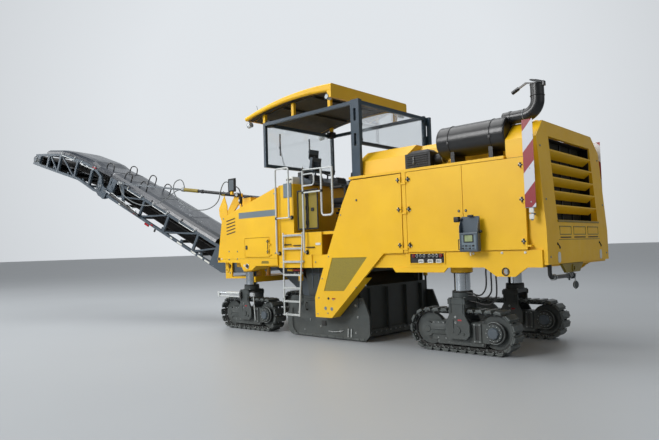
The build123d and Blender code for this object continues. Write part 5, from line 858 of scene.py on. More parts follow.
def cowl_fittings():
    """The radiator's core and bars, the slot row, handles, blank oval plates, bolts, lips and lifting eyes."""
    parts = [block((0.245, -0.780, 1.850), (0.262, 0.780, 2.950), "radiator_core", 0.004)]
    for y in (-0.792, 0.785):
        parts.append(block((0.100, y, 1.850), (0.262, y + 0.007, 2.950), "black_steel", 0.002))
    parts.append(block((0.120, -0.790, 2.944), (0.262, 0.790, 2.951), "black_steel", 0.002))
    for y in (-0.40, 0.0, 0.40):
        parts.append(block((0.228, y - 0.010, 1.850), (0.246, y + 0.010, 2.950), "black_steel", 0.002))
    fitted("radiator_core", parts, "machine")
    parts = []
    # the slots' frames and the lips on the cowl are olive_enamel: the yellow enamel with painted shade
    for y0, y1 in ((-0.76, -0.30), (-0.22, 0.26), (0.34, 0.76)):
        parts += [
            recessed((-0.002, y0, 1.640), (0.010, y1, 1.760), (-1, 0, 0), 0.012, 0.008, "olive_enamel",
                     "radiator_core", 0.001),
            block((-0.002, y0 + 0.02, 1.600), (0.004, y1 - 0.02, 1.616), "black_plastic", 0.001),
        ]
    parts += [
        block((-0.008, -0.800, 1.812), (0.020, 0.800, 1.836), "olive_enamel", 0.004),
        block((-0.004, -0.800, 1.575), (0.004, 0.800, 1.583), "olive_enamel", 0.001),
    ]
    for y in (-0.82, 0.82):
        parts += cowl_handle(y)
        parts.append(plate(((y - 0.045, 1.300), (y - 0.045, 1.395), (y - 0.022, 1.418), (y + 0.022, 1.418),
                            (y + 0.045, 1.395), (y + 0.045, 1.300), (y + 0.022, 1.277), (y - 0.022, 1.277)), -0.006,
                           0.001, "white_plastic", "X"))
    for y in (-1.10, 1.10):
        for z in (1.36, 2.10, 2.80):
            x = 0.095 * max(0.0, (z - 1.7) / 1.46)
            parts += bolt((x, y, z), (-1, 0, 0), 0.011)
    for y in (-0.636, 0.636):
        parts.append(ring((0.300, y, 3.165), (0, 1, 0), 0.055, 0.017, "yellow"))
    parts.append(block((0.005, -1.10, 1.262), (0.030, 1.10, 1.276), "olive_enamel", 0.003))
    fitted("cowl_fittings", parts, "machine")


def cowl_handle(y):
    """A black grab handle on the cowl's lower door."""
    return [bow((0.0, y - 0.035, 1.475), (0.0, y + 0.035, 1.525), (-0.006, 0, 0), 0.007, "black_plastic"),
            barrel((0.002, y - 0.035, 1.475), (-0.006, y - 0.035, 1.475), 0.018, "black_plastic", 12, 0.002),
            barrel((0.002, y + 0.035, 1.525), (-0.006, y + 0.035, 1.525), 0.018, "black_plastic", 12, 0.002)]


def board_fittings():
    """Bolts, brackets and the pale reflectors of the striped boards."""
    parts = []
    for z in (2.065, 2.495):
        parts += bolt((0.135, 1.2975, z), (0, 1, 0), 0.010)
    parts.append(block((0.072, 1.2965, 1.990), (0.217, 1.3055, 1.998), "grey_film", 0.002))
    for z in (1.845, 1.925):
        parts.append(block((0.105, 1.292, z), (0.168, 1.306, z + 0.066), "white_plastic", 0.006))
    parts += [
        block((0.120, 1.285, 1.830), (0.150, 1.294, 2.060), "grey_film", 0.003),
        block((0.128, 1.193, 1.900), (0.142, 1.290, 1.925), "grey_film", 0.003),
    ]
    fitted("board_fittings", both_sides(parts), "machine")


def pipe_fittings():
    """The filling pipe's flanges, red lever and the cap that hangs by its chain."""
    parts = []
    for y in (1.02, 0.955, 0.47, 0.40):
        parts.append(barrel((0.027, y, 1.095), (0.027, y - 0.014, 1.095), 0.040, "zinc_steel", 20, 0.003))
    parts += [
        block((0.012, 0.405, 1.052), (0.042, 0.465, 1.062), "zinc_steel", 0.003),
        block((0.018, 0.180, 1.094), (0.034, 0.330, 1.104), "red_plastic", 0.004),
        barrel((0.027, 0.335, 1.086), (0.027, 0.310, 1.086), 0.046, "grey_steel", 20, 0.004),
    ]
    for i in range(6):
        parts.append(ring((0.027, 0.235 - 0.006 * i, 1.080 - 0.016 * i), (1, 0, 0) if i % 2 else (0, 1, 0), 0.009,
                          0.0025, "zinc_steel", 10))
    parts += [
        barrel((0.010, 0.195, 0.950), (0.050, 0.190, 0.950), 0.052, "grey_steel", 22, 0.008),
        ring((0.030, 0.1925, 0.950), (1, 0, 0), 0.054, 0.007, "zinc_steel"),
    ]
    fitted("pipe_fittings", parts, "machine")


# ---- operator's station ----
def platform_fittings():
    """Cabinet doors, plates, bolts and treads on the platform's sides, and the deck mat."""
    face = 1.215
    # the cabinet doors' fields are olive_enamel: the yellow enamel with painted shade
    parts = [recessed((x0, face, 1.90), (x1, face + 0.014, 2.60), (0, 1, 0), 0.022, 0.010, "black_steel",
                      "olive_enamel") for x0, x1 in ((3.93, 4.19), (4.20, 4.44))]
    for x in (4.17, 4.22):
        for z in (2.02, 2.28, 2.50):
            parts.append(block((x - 0.012, face + 0.012, z - 0.035), (x + 0.012, face + 0.022, z + 0.035),
                               "black_plastic", 0.003))
    parts += [
        block((4.03, face + 0.012, 2.215), (4.10, face + 0.020, 2.275), "black_plastic", 0.004),
        block((4.58, face, 2.50), (4.80, face + 0.012, 2.76), "grey_film", 0.006),
    ]
    for i in range(4):
        parts += bolt((4.66, face, 2.10 + i * 0.10), (0, 1, 0), 0.008)
    for x in (4.04, 4.44, 4.62, 4.90):
        parts += bolt((x, face, 1.33), (0, 1, 0), 0.010)
    for x, z in ((4.46, 1.62), (4.14, 1.58), (4.72, 1.64)):
        parts.append(block((x - 0.10, face + 0.002, z), (x + 0.10, face + 0.030, z + 0.016), "black_plastic", 0.004))
    parts.append(block((3.90, face, 1.62), (4.02, face + 0.010, 1.66), "white_plastic", 0.003))
    fitted("platform_fittings", both_sides(parts), "machine")
    parts = [block((3.24, -1.16, 1.850), (4.54, 1.16, 1.858), "black_plastic", 0.002)]
    pitch = bpy.context.scene.planer_sizes.slats
    for i in range(int(1.22 / pitch)):
        x = 3.30 + i * pitch
        parts.append(block((x, -1.10, 1.858), (x + 0.018, 1.10, 1.864), "black_plastic", 0.002))
    fitted("deck_mat", parts, "machine")


RUNGS, RUNG_FOOT, RUNG_PITCH = 7, 0.395, 0.235
LADDER_TOP, LADDER_HEIGHT = 1.860, 1.480


def rail_clamps():
    """Black clamps where the rails meet the body, and flat treads on the ladder's rungs."""
    parts = []
    for x, z in ((4.93, 1.49), (4.225, 1.50), (4.59, 2.13)):
        parts += [
            barrel((x, 1.214, z), (x, 1.230, z), 0.040, "black_plastic", 16, 0.004),
            barrel((x, 1.228, z), (x, 1.246, z), 0.024, "black_plastic", 16, 0.003),
        ]
    for x, z in ((4.225, 2.545), (4.225, 2.950), (3.780, 2.54), (4.930, 2.130)):
        parts.append(barrel((x, 1.292, z - 0.022), (x, 1.292, z + 0.022), 0.024, "black_plastic", 14, 0.003))
    for i in range(RUNGS):
        z = RUNG_FOOT + i * RUNG_PITCH
        t = (LADDER_TOP - z) / LADDER_HEIGHT
        x0, x1 = 4.290 + 0.130 * t, 4.790 + 0.010 * t
        parts.append(block((x0 + 0.018, 1.238, z + 0.008), (x1 - 0.018, 1.286, z + 0.020), "white_tube", 0.003))
        for k in range(6):
            x = x0 + 0.05 + k * (x1 - x0 - 0.1) / 5
            parts.append(barrel((x, 1.262, z + 0.019), (x, 1.262, z + 0.024), 0.011, "white_tube", 8, 0.002))
    fitted("rail_clamps", both_sides(parts), "machine")


def console_fittings():
    """Displays, key rows, the pale switch box, joysticks and the wheel on the operator's console."""
    parts = [recessed((4.690, 0.300, 3.060), (4.716, 0.540, 3.300), (-1, 0, 0), 0.022, 0.006, "black_plastic",
                      "screen_face", 0.006)]
    keys = ("black_plastic", "white_plastic", "amber_lens", "slate_steel", "red_plastic")
    for y in (-0.60, -0.05, 0.62):
        parts.append(tapered((4.46, y - 0.14, 2.800), (4.70, y + 0.14, 2.925), (0, 0, 1), (0.82, 0.88, 1),
                             "black_plastic", 0.008))
        for i in range(5):
            for j in range(2):
                x, yy = 4.52 + j * 0.07, y - 0.10 + i * 0.05
                parts.append(barrel((x, yy, 2.918), (x, yy, 2.936), 0.013, keys[(i + j) % len(keys)], 12, 0.003))
    for y in (-0.35, 0.20):
        parts += [
            barrel((4.50, y, 2.82), (4.47, y, 2.985), 0.013, "black_steel", 12, 0.002),
            barrel((4.473, y, 2.970), (4.455, y, 3.050), 0.026, "black_plastic", 14, 0.010, 0.030),
        ]
    parts += [
        block((4.60, 0.98, 2.745), (4.78, 1.17, 2.880), "white_plastic", 0.014, 2),
        block((4.62, 0.62, 2.900), (4.80, 0.84, 3.000), "black_plastic", 0.012, 2),
    ]
    for x in (4.64, 4.69, 4.74):
        parts.append(barrel((x, 1.168, 2.83), (x, 1.186, 2.83), 0.015, "black_plastic", 12, 0.003))
    parts += [
        ring((4.72, 0.10, 3.02), (-0.5, 0, 0.86), 0.085, 0.012, "black_plastic"),
        barrel((4.72, 0.10, 2.90), (4.71, 0.10, 3.01), 0.016, "black_plastic", 12, 0.003),
        block((4.752, 0.306, 3.285), (4.776, 0.556, 3.455), "black_plastic", 0.006),
    ]
    fitted("console_fittings", parts, "machine")


SEAT_Y = (0.62, -0.62)
PAD_INSET, PAD_EDGE = 0.012, 0.030
PAD_VOXEL = 0.011
PAD_PRESSURE, PAD_STEPS = 4.0, 20
PAD_SWELL = 0.014     # the furthest that a pad's cover moves as it is blown up


def seat_pad(name, low, high, lean=0.0, foot=None):
    """A foam pad in its cover: an eased block, leant over about its foot and blown up as cloth."""
    deselect()
    low, high = Vector(low), Vector(high)
    shrink = Vector((PAD_INSET, PAD_INSET, PAD_INSET))
    bpy.ops.mesh.primitive_cube_add(size=1, location=(low + high) / 2, scale=high - low - shrink * 2)
    piece = sized("seat_cover")
    ease(PAD_EDGE, 3)
    if lean:
        bpy.context.object.data.transform(moved(*foot) @ turned(lean, "Y") @ moved(*(-Vector(foot))))
    rounder = piece.modifiers.new("voxels", "REMESH")
    rounder.mode = "VOXEL"
    rounder.voxel_size = PAD_VOXEL
    bpy.ops.object.modifier_apply(modifier="voxels")
    rest = [v.co.copy() for v in piece.data.vertices]
    cloth = piece.modifiers.new("cloth", "CLOTH")
    cloth.settings.use_pressure = True
    cloth.settings.uniform_pressure_force = PAD_PRESSURE
    cloth.settings.effector_weights.gravity = 0.0
    for step in range(1, PAD_STEPS + 1):
        bpy.context.scene.frame_set(step)
    bpy.ops.object.modifier_apply(modifier="cloth")
    for vertex, start in zip(piece.data.vertices, rest):
        shift = vertex.co - start
        if shift.length > PAD_SWELL:
            vertex.co = start + shift.normalized() * PAD_SWELL
    bpy.context.scene.frame_set(1)
    piece.name = piece.data.name = name
    finer = piece.modifiers.new("smooth", "SUBSURF")
    finer.levels = finer.render_levels = 1
    bpy.ops.object.modifier_apply(modifier="smooth")
    bpy.ops.object.shade_smooth()
    piece.data.transform(MACHINE)
    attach(piece, "machine")
    return piece


def seats():
    """Two suspension seats: padded cushions and backs, headrests, armrests, bellows and slide rails."""
    for index, y in enumerate(SEAT_Y):
        base = seat_pad(f"seat_cushion_{index}", (3.575, y - 0.235, 2.335), (4.020, y + 0.235, 2.445))
        seat_pad(f"seat_back_{index}", (3.520, y - 0.225, 2.450), (3.605, y + 0.225, 2.840), -9.5, (3.60, y, 2.45))
        seat_pad(f"seat_head_{index}", (3.470, y - 0.130, 2.865), (3.535, y + 0.130, 3.010))
        if index == 0:
            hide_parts("seats")
        parts = []
        for side in (-1, 1):
            arm = y + side * 0.275
            parts += [
                block((3.640, arm - 0.030, 2.600), (3.930, arm + 0.030, 2.645), "black_plastic", 0.014, 2),
                block((3.560, arm - 0.014, 2.420), (3.610, arm + 0.014, 2.630), "black_steel", 0.006),
                block((3.580, arm - 0.014, 2.600), (3.660, arm + 0.014, 2.625), "black_steel", 0.005),
                barrel((3.585, y + side * 0.238, 2.50), (3.585, y + side * 0.292, 2.50), 0.022, "black_plastic", 14,
                       0.004),
            ]
        parts.append(block((3.460, y - 0.020, 2.780), (3.480, y + 0.020, 2.900), "black_steel", 0.004))
        for i in range(7):
            z = 1.90 + i * 0.052
            half = 0.150 if i % 2 else 0.128
            parts.append(block((3.79 - half, y - half, z), (3.79 + half, y + half, z + 0.040), "belt_rubber", 0.014))
        parts.append(block((3.62, y - 0.17, 1.852), (3.96, y + 0.17, 1.900), "black_steel", 0.006))
        for side in (-1, 1):
            parts.append(block((3.60, y + side * 0.16 - 0.014, 2.270), (4.00, y + side * 0.16 + 0.014, 2.292),
                               "zinc_steel", 0.004))
        fitted(f"seat_frame_{index}", parts, "machine")


# ---- canopy ----
ROOF_REAR, ROOF_LENGTH = 3.64, 2.31
ROOF_TOP, ROOF_FALL, ROOF_BOW = 4.400, 0.200, 0.095    # its rear edge's height, its fall to the front and its bow
ROOF_SHADE_DROP = 0.088


def roof_height(x):
    """The bowed edge line of the roof at a distance along the machine."""
    share = (x - ROOF_REAR) / ROOF_LENGTH
    return ROOF_TOP - ROOF_FALL * share + ROOF_BOW * (1 - (2 * share - 1) ** 2)


def canopy_fittings():
    """The dark plates of painted shade under the roof, lamps, wipers, corner boxes, window bolts, the rear strip,
    antenna and cable.
    """
    parts = []
    steps = 9
    # the plates and beams under the roof are roof_liner: dark brown painted shade of the roof's underside
    for i in range(steps):
        xa, xb = 3.76 + i * 2.12 / steps, 3.76 + (i + 1) * 2.12 / steps
        za, zb = roof_height(xa) - ROOF_SHADE_DROP, roof_height(xb) - ROOF_SHADE_DROP
        for y0, y1 in ((-1.080, -0.965), (-0.930, 0.930), (0.965, 1.080)):
            parts.append(plate(((xa, za - 0.006), (xb, zb - 0.006), (xb, zb), (xa, za)), y0, y1, "roof_liner", "Y", 0))
    for x in (4.25, 5.05):
        z = roof_height(x) - 0.100
        parts.append(block((x - 0.03, -0.90, z - 0.035), (x + 0.03, 0.90, z + 0.004), "roof_liner", 0.006))
    fitted("roof_liner", parts, "machine")
    parts = []
    under = 4.200 - 0.148 + 0.0017
    for y in (-1.04, 1.04):
        parts += [
            barrel((5.938, y, under - 0.008), (5.948, y, under - 0.009), 0.044, "lamp", 24, 0.003),
            ring((5.940, y, under - 0.009), (1, 0, -0.1), 0.048, 0.006, "black_plastic"),
        ]
        side = 1 if y > 0 else -1
        parts += [
            ring((3.745, side * 1.130, 4.18), (0, 1, 0), 0.045, 0.006, "black_plastic"),
            barrel((3.745, side * 1.128, 4.18), (3.745, side * 1.133, 4.18), 0.041, "lamp", 24, 0.002),
        ]
    for y in (0.90, -0.90):
        parts.append(block((5.40, y - 0.07, 3.960), (5.56, y + 0.07, 4.090), "black_plastic", 0.018, 2))
    for y in (0.42, -0.42):
        parts += [
            block((5.565, y - 0.045, 3.175), (5.600, y + 0.045, 3.235), "black_plastic", 0.006),
            pipe(((5.590, y, 3.205), (5.585, y + 0.06, 3.40), (5.572, y + 0.16, 3.62)), 0.008, "black_steel", 2),
            block((5.540, y + 0.135, 3.44), (5.566, y + 0.160, 3.88), "belt_rubber", 0.004),
        ]
    for y in (-0.95, 0.95):
        for z in (3.36, 3.62, 3.88):
            parts.append(barrel((3.124, y, z), (3.116, y, z), 0.016, "black_plastic", 12, 0.003))
    parts += [
        block((3.128, -0.955, 3.285), (3.1245, 0.955, 3.325), "black_steel", 0.001),
        barrel((5.70, 1.00, roof_height(5.70) - 0.02), (5.70, 1.00, roof_height(5.70) + 0.030), 0.022, "black_plastic",
               16, 0.008),
        pipe(((5.70, 1.00, roof_height(5.70) + 0.02), (5.71, 1.00, 4.36), (5.74, 1.00, 4.415)), 0.004, "black_plastic",
             2),
        bow((5.40, 0.80, 4.045), (4.75, 0.80, 4.045), (0, 0, -0.06), 0.009, "black_steel"),
    ]
    fitted("canopy_fittings", parts, "machine")


def exhaust_fittings():
    """The muffler's bands, seams and bolts, the stack's collars, the air intake and the hood's grating."""
    parts = []
    y, z = 0.980, 3.045
    for x in (0.72, 1.36):
        parts.append(ring((x, y, z), (1, 0, 0), 0.2305, 0.007, "black_steel", 48))
        for side in (-1, 1):
            parts.append(block((x - 0.018, y + side * 0.222 - 0.014, z - 0.060),
                               (x + 0.018, y + side * 0.222 + 0.014, z - 0.020), "black_steel", 0.003))
    for x in (0.540, 1.526):
        parts.append(ring((x, y, z), (1, 0, 0), 0.2285, 0.004, "black_steel", 48))
    parts += [
        ring((0.300, y, 3.246), (1, 0, 0), 0.090, 0.007, "zinc_steel", 28),
        ring((0.120, y, 3.48), (0, 0, 1), 0.090, 0.006, "black_steel", 28),
        ring((0.120, y, 3.632), (0, 0, 1), 0.088, 0.006, "black_steel", 28),
    ]
    for x in (0.708, 0.768, 1.298, 1.358):
        parts += bolt((x, y + 0.145, 2.709), (0, 0, 1), 0.011)
    fitted("exhaust_fittings", parts, "machine")
    parts = []
    for i in range(6):
        z = 2.745 + i * 0.034
        parts.append(block((1.78, 1.076, z), (2.15, 1.092, z + 0.014), "black_plastic", 0.004))
    parts += [
        tapered((1.76, 0.78, 2.955), (2.17, 1.06, 3.010), (0, 0, 1), (0.7, 0.6, 1), "black_plastic", 0.010),
        pipe(((1.62, 0.90, 2.86), (1.70, 0.90, 2.85), (1.76, 0.90, 2.84)), 0.085, "black_plastic", 4),
        ring((1.60, 0.90, 2.86), (1, 0, 0), 0.088, 0.008, "zinc_steel"),
        barrel((1.556, 0.90, 2.90), (1.63, 0.90, 2.86), 0.080, "black_steel", 24, 0.004),
        bow((2.02, 1.078, 2.80), (2.02, 1.078, 2.90), (0, 0.03, 0), 0.007, "zinc_steel"),
    ]
    fitted("intake_fittings", parts, "machine")
    # the black sheet under the bars is painted shade of the opening below the grating
    parts = [block((0.60, -0.85, 3.158), (2.18, 0.40, 3.164), "black_plastic", 0.002)]
    for i in range(14):
        x = 0.64 + i * 0.110
        parts.append(block((x, -0.82, 3.164), (x + 0.05, 0.37, 3.172), "black_steel", 0.002))
    fitted("hood_grating", parts, "machine")


# ---- side plates and drum gear ----
def side_plate_fittings():
    """Wear strips, bolts, handles, small pipes and lift brackets on the side plates."""
    for side, body, inner in ((LEFT, "side_plate_left", 0.964), (RIGHT, "side_plate_right", 1.084)):
        face = inner + 0.040
        parts = [
            block((3.17, face - 0.001, 0.014), (4.83, face + 0.010, 0.058), "track_steel", 0.004),
            block((3.20, face, 0.640), (4.80, face + 0.014, 0.668), "grey_steel", 0.004),
        ]
        parts += side_bolts(((4.10, 0.50), (4.70, 0.42), (4.40, 0.30), (3.30, 0.40), (4.15, 0.20), (4.55, 0.12),
                             (3.70, 0.14), (3.35, 0.14)), face, 0.014)
        for i in range(9):
            parts += bolt((3.28 + i * 0.18, face + 0.010, 0.036), (0, 1, 0), 0.010, "grey_steel")
        parts += [
            block((4.02, face, 0.22), (4.12, face + 0.020, 0.30), "black_plastic", 0.006),
            block((4.60, face, 0.56), (4.72, face + 0.024, 0.60), "black_steel", 0.006),
            bow((4.48, face, 0.475), (4.48, face, 0.60), (0, 0.04, 0), 0.012, "grey_steel"),
            pipe(((4.84, face + 0.020, 0.50), (4.86, face + 0.020, 0.25), (4.83, face + 0.020, 0.10),
                  (4.76, face + 0.020, 0.060)), 0.010, "grey_steel"),
        ]
        for x in (3.45, 3.52):
            parts.append(barrel((x, face + 0.012, 0.06), (x - 0.01, face + 0.012, 0.20), 0.009, "white_tube", 10,
                                0.002))
        parts.append(pipe(((3.62, face + 0.012, 0.16), (3.78, face + 0.030, 0.11), (3.96, face + 0.012, 0.13)), 0.006,
                          "zinc_steel", 2))
        for x in (3.33, 4.64):
            parts.append(block((x - 0.06, face - 0.001, 0.56), (x + 0.06, face + 0.016, 0.72), "grey_steel", 0.006))
            parts += bolt((x, face + 0.016, 0.60), (0, 1, 0), 0.015)
        if side == RIGHT:
            parts = set_out(parts, [MIRROR])
        fitted(body + "_fittings", parts, body)


def drum_bay_gear():
    """Ribs and valve blocks at the drum housing's walls, and the rims of the side plates' lift cylinders."""
    for side, wall, name in ((LEFT, 0.952, "left"), (RIGHT, 1.072, "right")):
        parts = []
        for x, z0, z1 in ((3.42, 0.74, 1.22), (3.58, 0.74, 1.22), (4.20, 0.80, 1.22), (4.36, 0.86, 1.22)):
            parts.append(block((x, wall - 0.002, z0), (x + 0.024, wall + 0.008, z1), "slate_steel", 0.003))
        parts.append(block((3.40, wall - 0.002, 1.10), (4.45, wall + 0.008, 1.125), "slate_steel", 0.003))
        for x in (4.52, 4.62, 4.72):
            parts += [
                block((x - 0.035, wall + 0.075, 1.150), (x + 0.035, wall + 0.135, 1.235), "dark_iron", 0.008),
                barrel((x, wall + 0.105, 1.150), (x, wall + 0.105, 1.110), 0.014, "zinc_steel", 10, 0.002),
            ]
        parts += [
            block((4.46, wall + 0.137, 1.165), (4.70, wall + 0.167, 1.205), "red_plastic", 0.006),
            block((4.72, wall + 0.137, 1.165), (4.86, wall + 0.167, 1.205), "yellow", 0.006),
        ]
        if side == RIGHT:
            parts = set_out(parts, [MIRROR])
        fitted("drum_bay_gear_" + name, parts, "machine")
    parts = []
    for x in (3.33, 4.64):
        for y in (0.984, -1.104):
            parts += [
                ring((x, y, 0.985), (0, 0, 1), 0.036, 0.009, "zinc_steel", 20),
                ring((x, y, 1.18), (0, 0, 1), 0.045, 0.006, "dark_iron", 20),
            ]
    fitted("lift_barrel_rims", parts, "machine")


def moldboard_fittings():
    """Wear blades and bolts on the moldboard's rear face."""
    parts = []
    for i in range(7):
        y = -1.03 + i * 0.278
        parts.append(block((3.270, y, 0.032), (3.277, y + 0.268, 0.150), "track_steel", 0.002))
        for k in (0.07, 0.20):
            parts += bolt((3.270, y + k, 0.11), (-1, 0, 0), 0.013)
    fitted("moldboard_fittings", parts, "moldboard")


DRUM_X, DRUM_Z = 3.95, 0.53
PICK_TURN = 27     # degrees from one pick of a spiral to the next


def drum_picks():
    """Carbide tips and holder rings on the milling drum's picks, in its double spiral."""
    middle, reach = -0.060, 0.950
    count = bpy.context.scene.planer_sizes.picks
    tip = [barrel((0.475, 0, -0.008), (0.506, 0, 0.020), 0.014, "zinc_steel", 8, 0.002, 0.004),
           block((0.425, -0.026, -0.045), (0.462, 0.026, 0.040), "track_steel", 0.006)]
    places = []
    for start in range(2):
        for hand in (1, -1):
            for i in range(count):
                y = middle + hand * (i + 0.5) * reach / count
                places.append(moved(DRUM_X, y, DRUM_Z) @ turned(180 * start + i * PICK_TURN, "Y"))
    fitted("drum_picks", set_out(tip, places), "milling_drum")


# ---- discharge conveyor ----
INNER_END = 4.146
INNER_STATIONS = (0.25, 0.946, 1.936, 2.796, 4.056)


def hood_fittings():
    """Long staple handles, seams and hoops on the conveyor's covers."""
    parts = []
    for x in (1.10, 2.02, 2.94):
        for y in (0.590, -0.590):
            out = y + (0.018 if y > 0 else -0.018)
            parts.append(pipe(((x, y, 0.535), (x, out, 0.530), (x, out, 0.455), (x + 0.06, out, 0.452),
                               (x + 0.44, out, 0.452), (x + 0.50, out, 0.455), (x + 0.50, out, 0.530),
                               (x + 0.50, y, 0.535)), 0.009, "white_tube", 2))
    for x in (1.55, 2.60, 3.60):
        parts += [
            block((x, -0.572, 0.5003), (x + 0.030, -0.566, 0.560), "black_steel", 0.002),
            block((x, 0.566, 0.5003), (x + 0.030, 0.572, 0.560), "black_steel", 0.002),
            block((x, -0.325, 0.622), (x + 0.040, 0.325, 0.630), "navy_hood", 0.002),
        ]
    for x in (3.05, 3.62):
        for y in (0.40, -0.40):
            parts.append(pipe(((x, y, 0.590), (x, y, 0.70), (x + 0.03, y, 0.790), (x + 0.12, y, 0.81),
                               (x + 0.21, y, 0.780), (x + 0.24, y, 0.70), (x + 0.24, y, 0.590)), 0.014, "black_steel",
                              2))
    fitted("inner_hood_fittings", parts, "inner_boom", INNER)
    parts = []
    for x, z in ((0.55, 0.590), (1.35, 0.620)):
        for y in (0.578, -0.578):
            out = y + (0.02 if y > 0 else -0.02)
            parts.append(pipe(((x, y, z), (x, out, z - 0.01), (x, out, z - 0.085), (x + 0.06, out, z - 0.088),
                               (x + 0.46, out, z - 0.088), (x + 0.52, out, z - 0.085), (x + 0.52, out, z - 0.01),
                               (x + 0.52, y, z)), 0.009, "white_tube", 2))
    for y in (0.38, -0.38):
        parts.append(pipe(((0.10, y, 0.600), (0.10, y, 0.70), (0.14, y, 0.775), (0.24, y, 0.79), (0.33, y, 0.76),
                           (0.36, y, 0.69), (0.36, y, 0.61)), 0.014, "black_steel", 2))
    fitted("outer_hood_fittings", parts, "outer_boom", OUTER)


def boom_gear():
    """Carrier rollers under the belts, chord strips, reflectors, bolts, drum flanges and covers on the booms."""
    parts = []
    for x in (0.75, 1.40, 2.05, 2.70, 3.35):
        parts.append(barrel((x, -0.500, 0.070), (x, 0.500, 0.070), 0.036, "dark_iron", 18, 0.004))
        for y in (-0.515, 0.515):
            parts.append(block((x - 0.035, y - 0.016, 0.030), (x + 0.035, y + 0.016, 0.110), "slate_steel", 0.004))
    for x in (0.40, 0.62, 0.84, 1.30):
        parts.append(block((x, 0.589, 0.008), (x + 0.16, 0.593, 0.050), "white_plastic", 0.002))
    for x in (1.62, 2.30, 2.95, 3.50):
        parts.append(block((x, 0.590, 0.018), (x + 0.07, 0.601, 0.050),
                           "white_plastic" if x < 2 or x > 3 else "red_lens", 0.003))
    parts += [
        block((2.42, 0.570, -0.050), (2.56, 0.604, -0.002), "red_lens", 0.004),
        block((2.18, 0.570, -0.075), (2.22, 0.600, -0.002), "black_plastic", 0.004),
    ]
    for x in INNER_STATIONS:
        for z in (0.03, 0.47):
            for y in (-1, 1):
                parts += bolt((x + 0.03, y * 0.590, z), (0, y, 0), 0.012, "zinc_steel", False)
    for x0, x1 in ((0.95, 1.90), (1.95, 2.75)):
        parts.append(pipe(((x0, 0.552, 0.430), ((x0 + x1) / 2, 0.560, 0.424), (x1, 0.552, 0.430)), 0.010, "hose_black",
                          2))
    head = INNER_END - 0.122
    parts.append(barrel((head, 0.588, 0.22), (head, 0.594, 0.22), 0.105, "slate_steel", 30, 0.002))
    fitted("inner_boom_gear", parts, "inner_boom", INNER)
    parts = []
    for x in (0.95, 1.55, 2.15):
        z = 0.125
        parts.append(barrel((x, -0.500, z), (x, 0.500, z), 0.034, "dark_iron", 18, 0.004))
        for y in (-0.518, 0.518):
            parts.append(block((x - 0.03, y - 0.012, 0.070), (x + 0.03, y + 0.012, z + 0.035), "slate_steel", 0.004))
    for y in (-1, 1):
        parts.append(barrel((2.860, y * 0.586, 0.148), (2.860, y * 0.597, 0.148), 0.078, "dark_iron", 28, 0.004))
        for turn in range(6):
            place = (2.860 + 0.055 * cos(turn * pi / 3), y * 0.5955, 0.148 + 0.055 * sin(turn * pi / 3))
            parts += bolt(place, (0, y, 0), 0.009, "zinc_steel", False)
        parts.append(block((2.700, y * 0.592 - 0.006, 0.100), (2.790, y * 0.592 + 0.006, 0.196), "grey_steel", 0.004))
        for x, z in ((0.63, 0.10), (1.22, 0.12), (1.22, 0.54), (1.90, 0.10), (1.90, 0.50), (2.35, 0.07), (0.62, 0.50),
                     (2.80, 0.24)):
            parts += bolt((x, y * 0.590, z), (0, y, 0), 0.011, "zinc_steel", False)
        parts.append(block((0.115, y * 0.612 - 0.006, 0.075), (0.250, y * 0.612 + 0.006, 0.225), "slate_steel", 0.016,
                           2))
        for x in (0.145, 0.220):
            for z in (0.105, 0.195):
                parts += bolt((x, y * 0.618, z), (0, y, 0), 0.012)
    parts += [
        block((2.90, -0.36, 0.215), (2.955, 0.36, 0.235), "belt_rubber", 0.004),
        block((0.48, 0.588, 0.540), (0.62, 0.600, 0.566), "red_lens", 0.003),
    ]
    fitted("outer_boom_gear", parts, "outer_boom", OUTER)


STRUT_START, STRUT_END = (0.020, 2.755), (3.560, 3.290)
STRUT_Y = 0.700


def on_strut(t, y=STRUT_Y, off=0.0):
    """A point along the luff cylinder, from its mast end."""
    return (STRUT_START[0] + t * (STRUT_END[0] - STRUT_START[0]), y,
            STRUT_START[1] + t * (STRUT_END[1] - STRUT_START[1]) + off)


def strut_gear():
    """The luff cylinders' sleeves, gland rings, ports and clamps, and the rods' end rings."""
    parts = []
    # the sleeves and clamps in olive_enamel are the yellow enamel with painted shade
    for y in (STRUT_Y, -STRUT_Y):
        parts += [
            barrel(on_strut(0.300, y), on_strut(0.415, y), 0.041, "olive_enamel", 22, 0.004),
            barrel(on_strut(0.412, y), on_strut(0.436, y), 0.046, "zinc_steel", 22, 0.004),
            barrel(on_strut(0.262, y), on_strut(0.276, y), 0.043, "dark_iron", 22, 0.003),
            barrel(on_strut(0.050, y), on_strut(0.075, y), 0.043, "dark_iron", 22, 0.003),
        ]
        for t in (0.060, 0.420):
            x, yy, z = on_strut(t, y)
            parts.append(barrel((x, yy, z + 0.030), (x, yy, z + 0.070), 0.015, "zinc_steel", 8, 0.002))
        x, yy, z = on_strut(0.10, y)
        parts.append(block((x - 0.05, yy - 0.050, z - 0.050), (x + 0.05, yy + 0.050, z - 0.020), "olive_enamel", 0.008))
    fitted("luff_barrel_gear", parts, "luff_barrels", SLEWED)
    parts = []
    for y in (STRUT_Y, -STRUT_Y):
        parts.append(barrel(on_strut(0.965, y), on_strut(0.990, y), 0.028, "zinc_steel", 16, 0.004))
        x, yy, z = on_strut(1.0, y)
        parts.append(ring((x, yy + (0.022 if y > 0 else -0.022), z), (0, 1, 0), 0.033, 0.005, "zinc_steel", 20))
    fitted("luff_rod_gear", parts, "luff_rods", SLEWED)


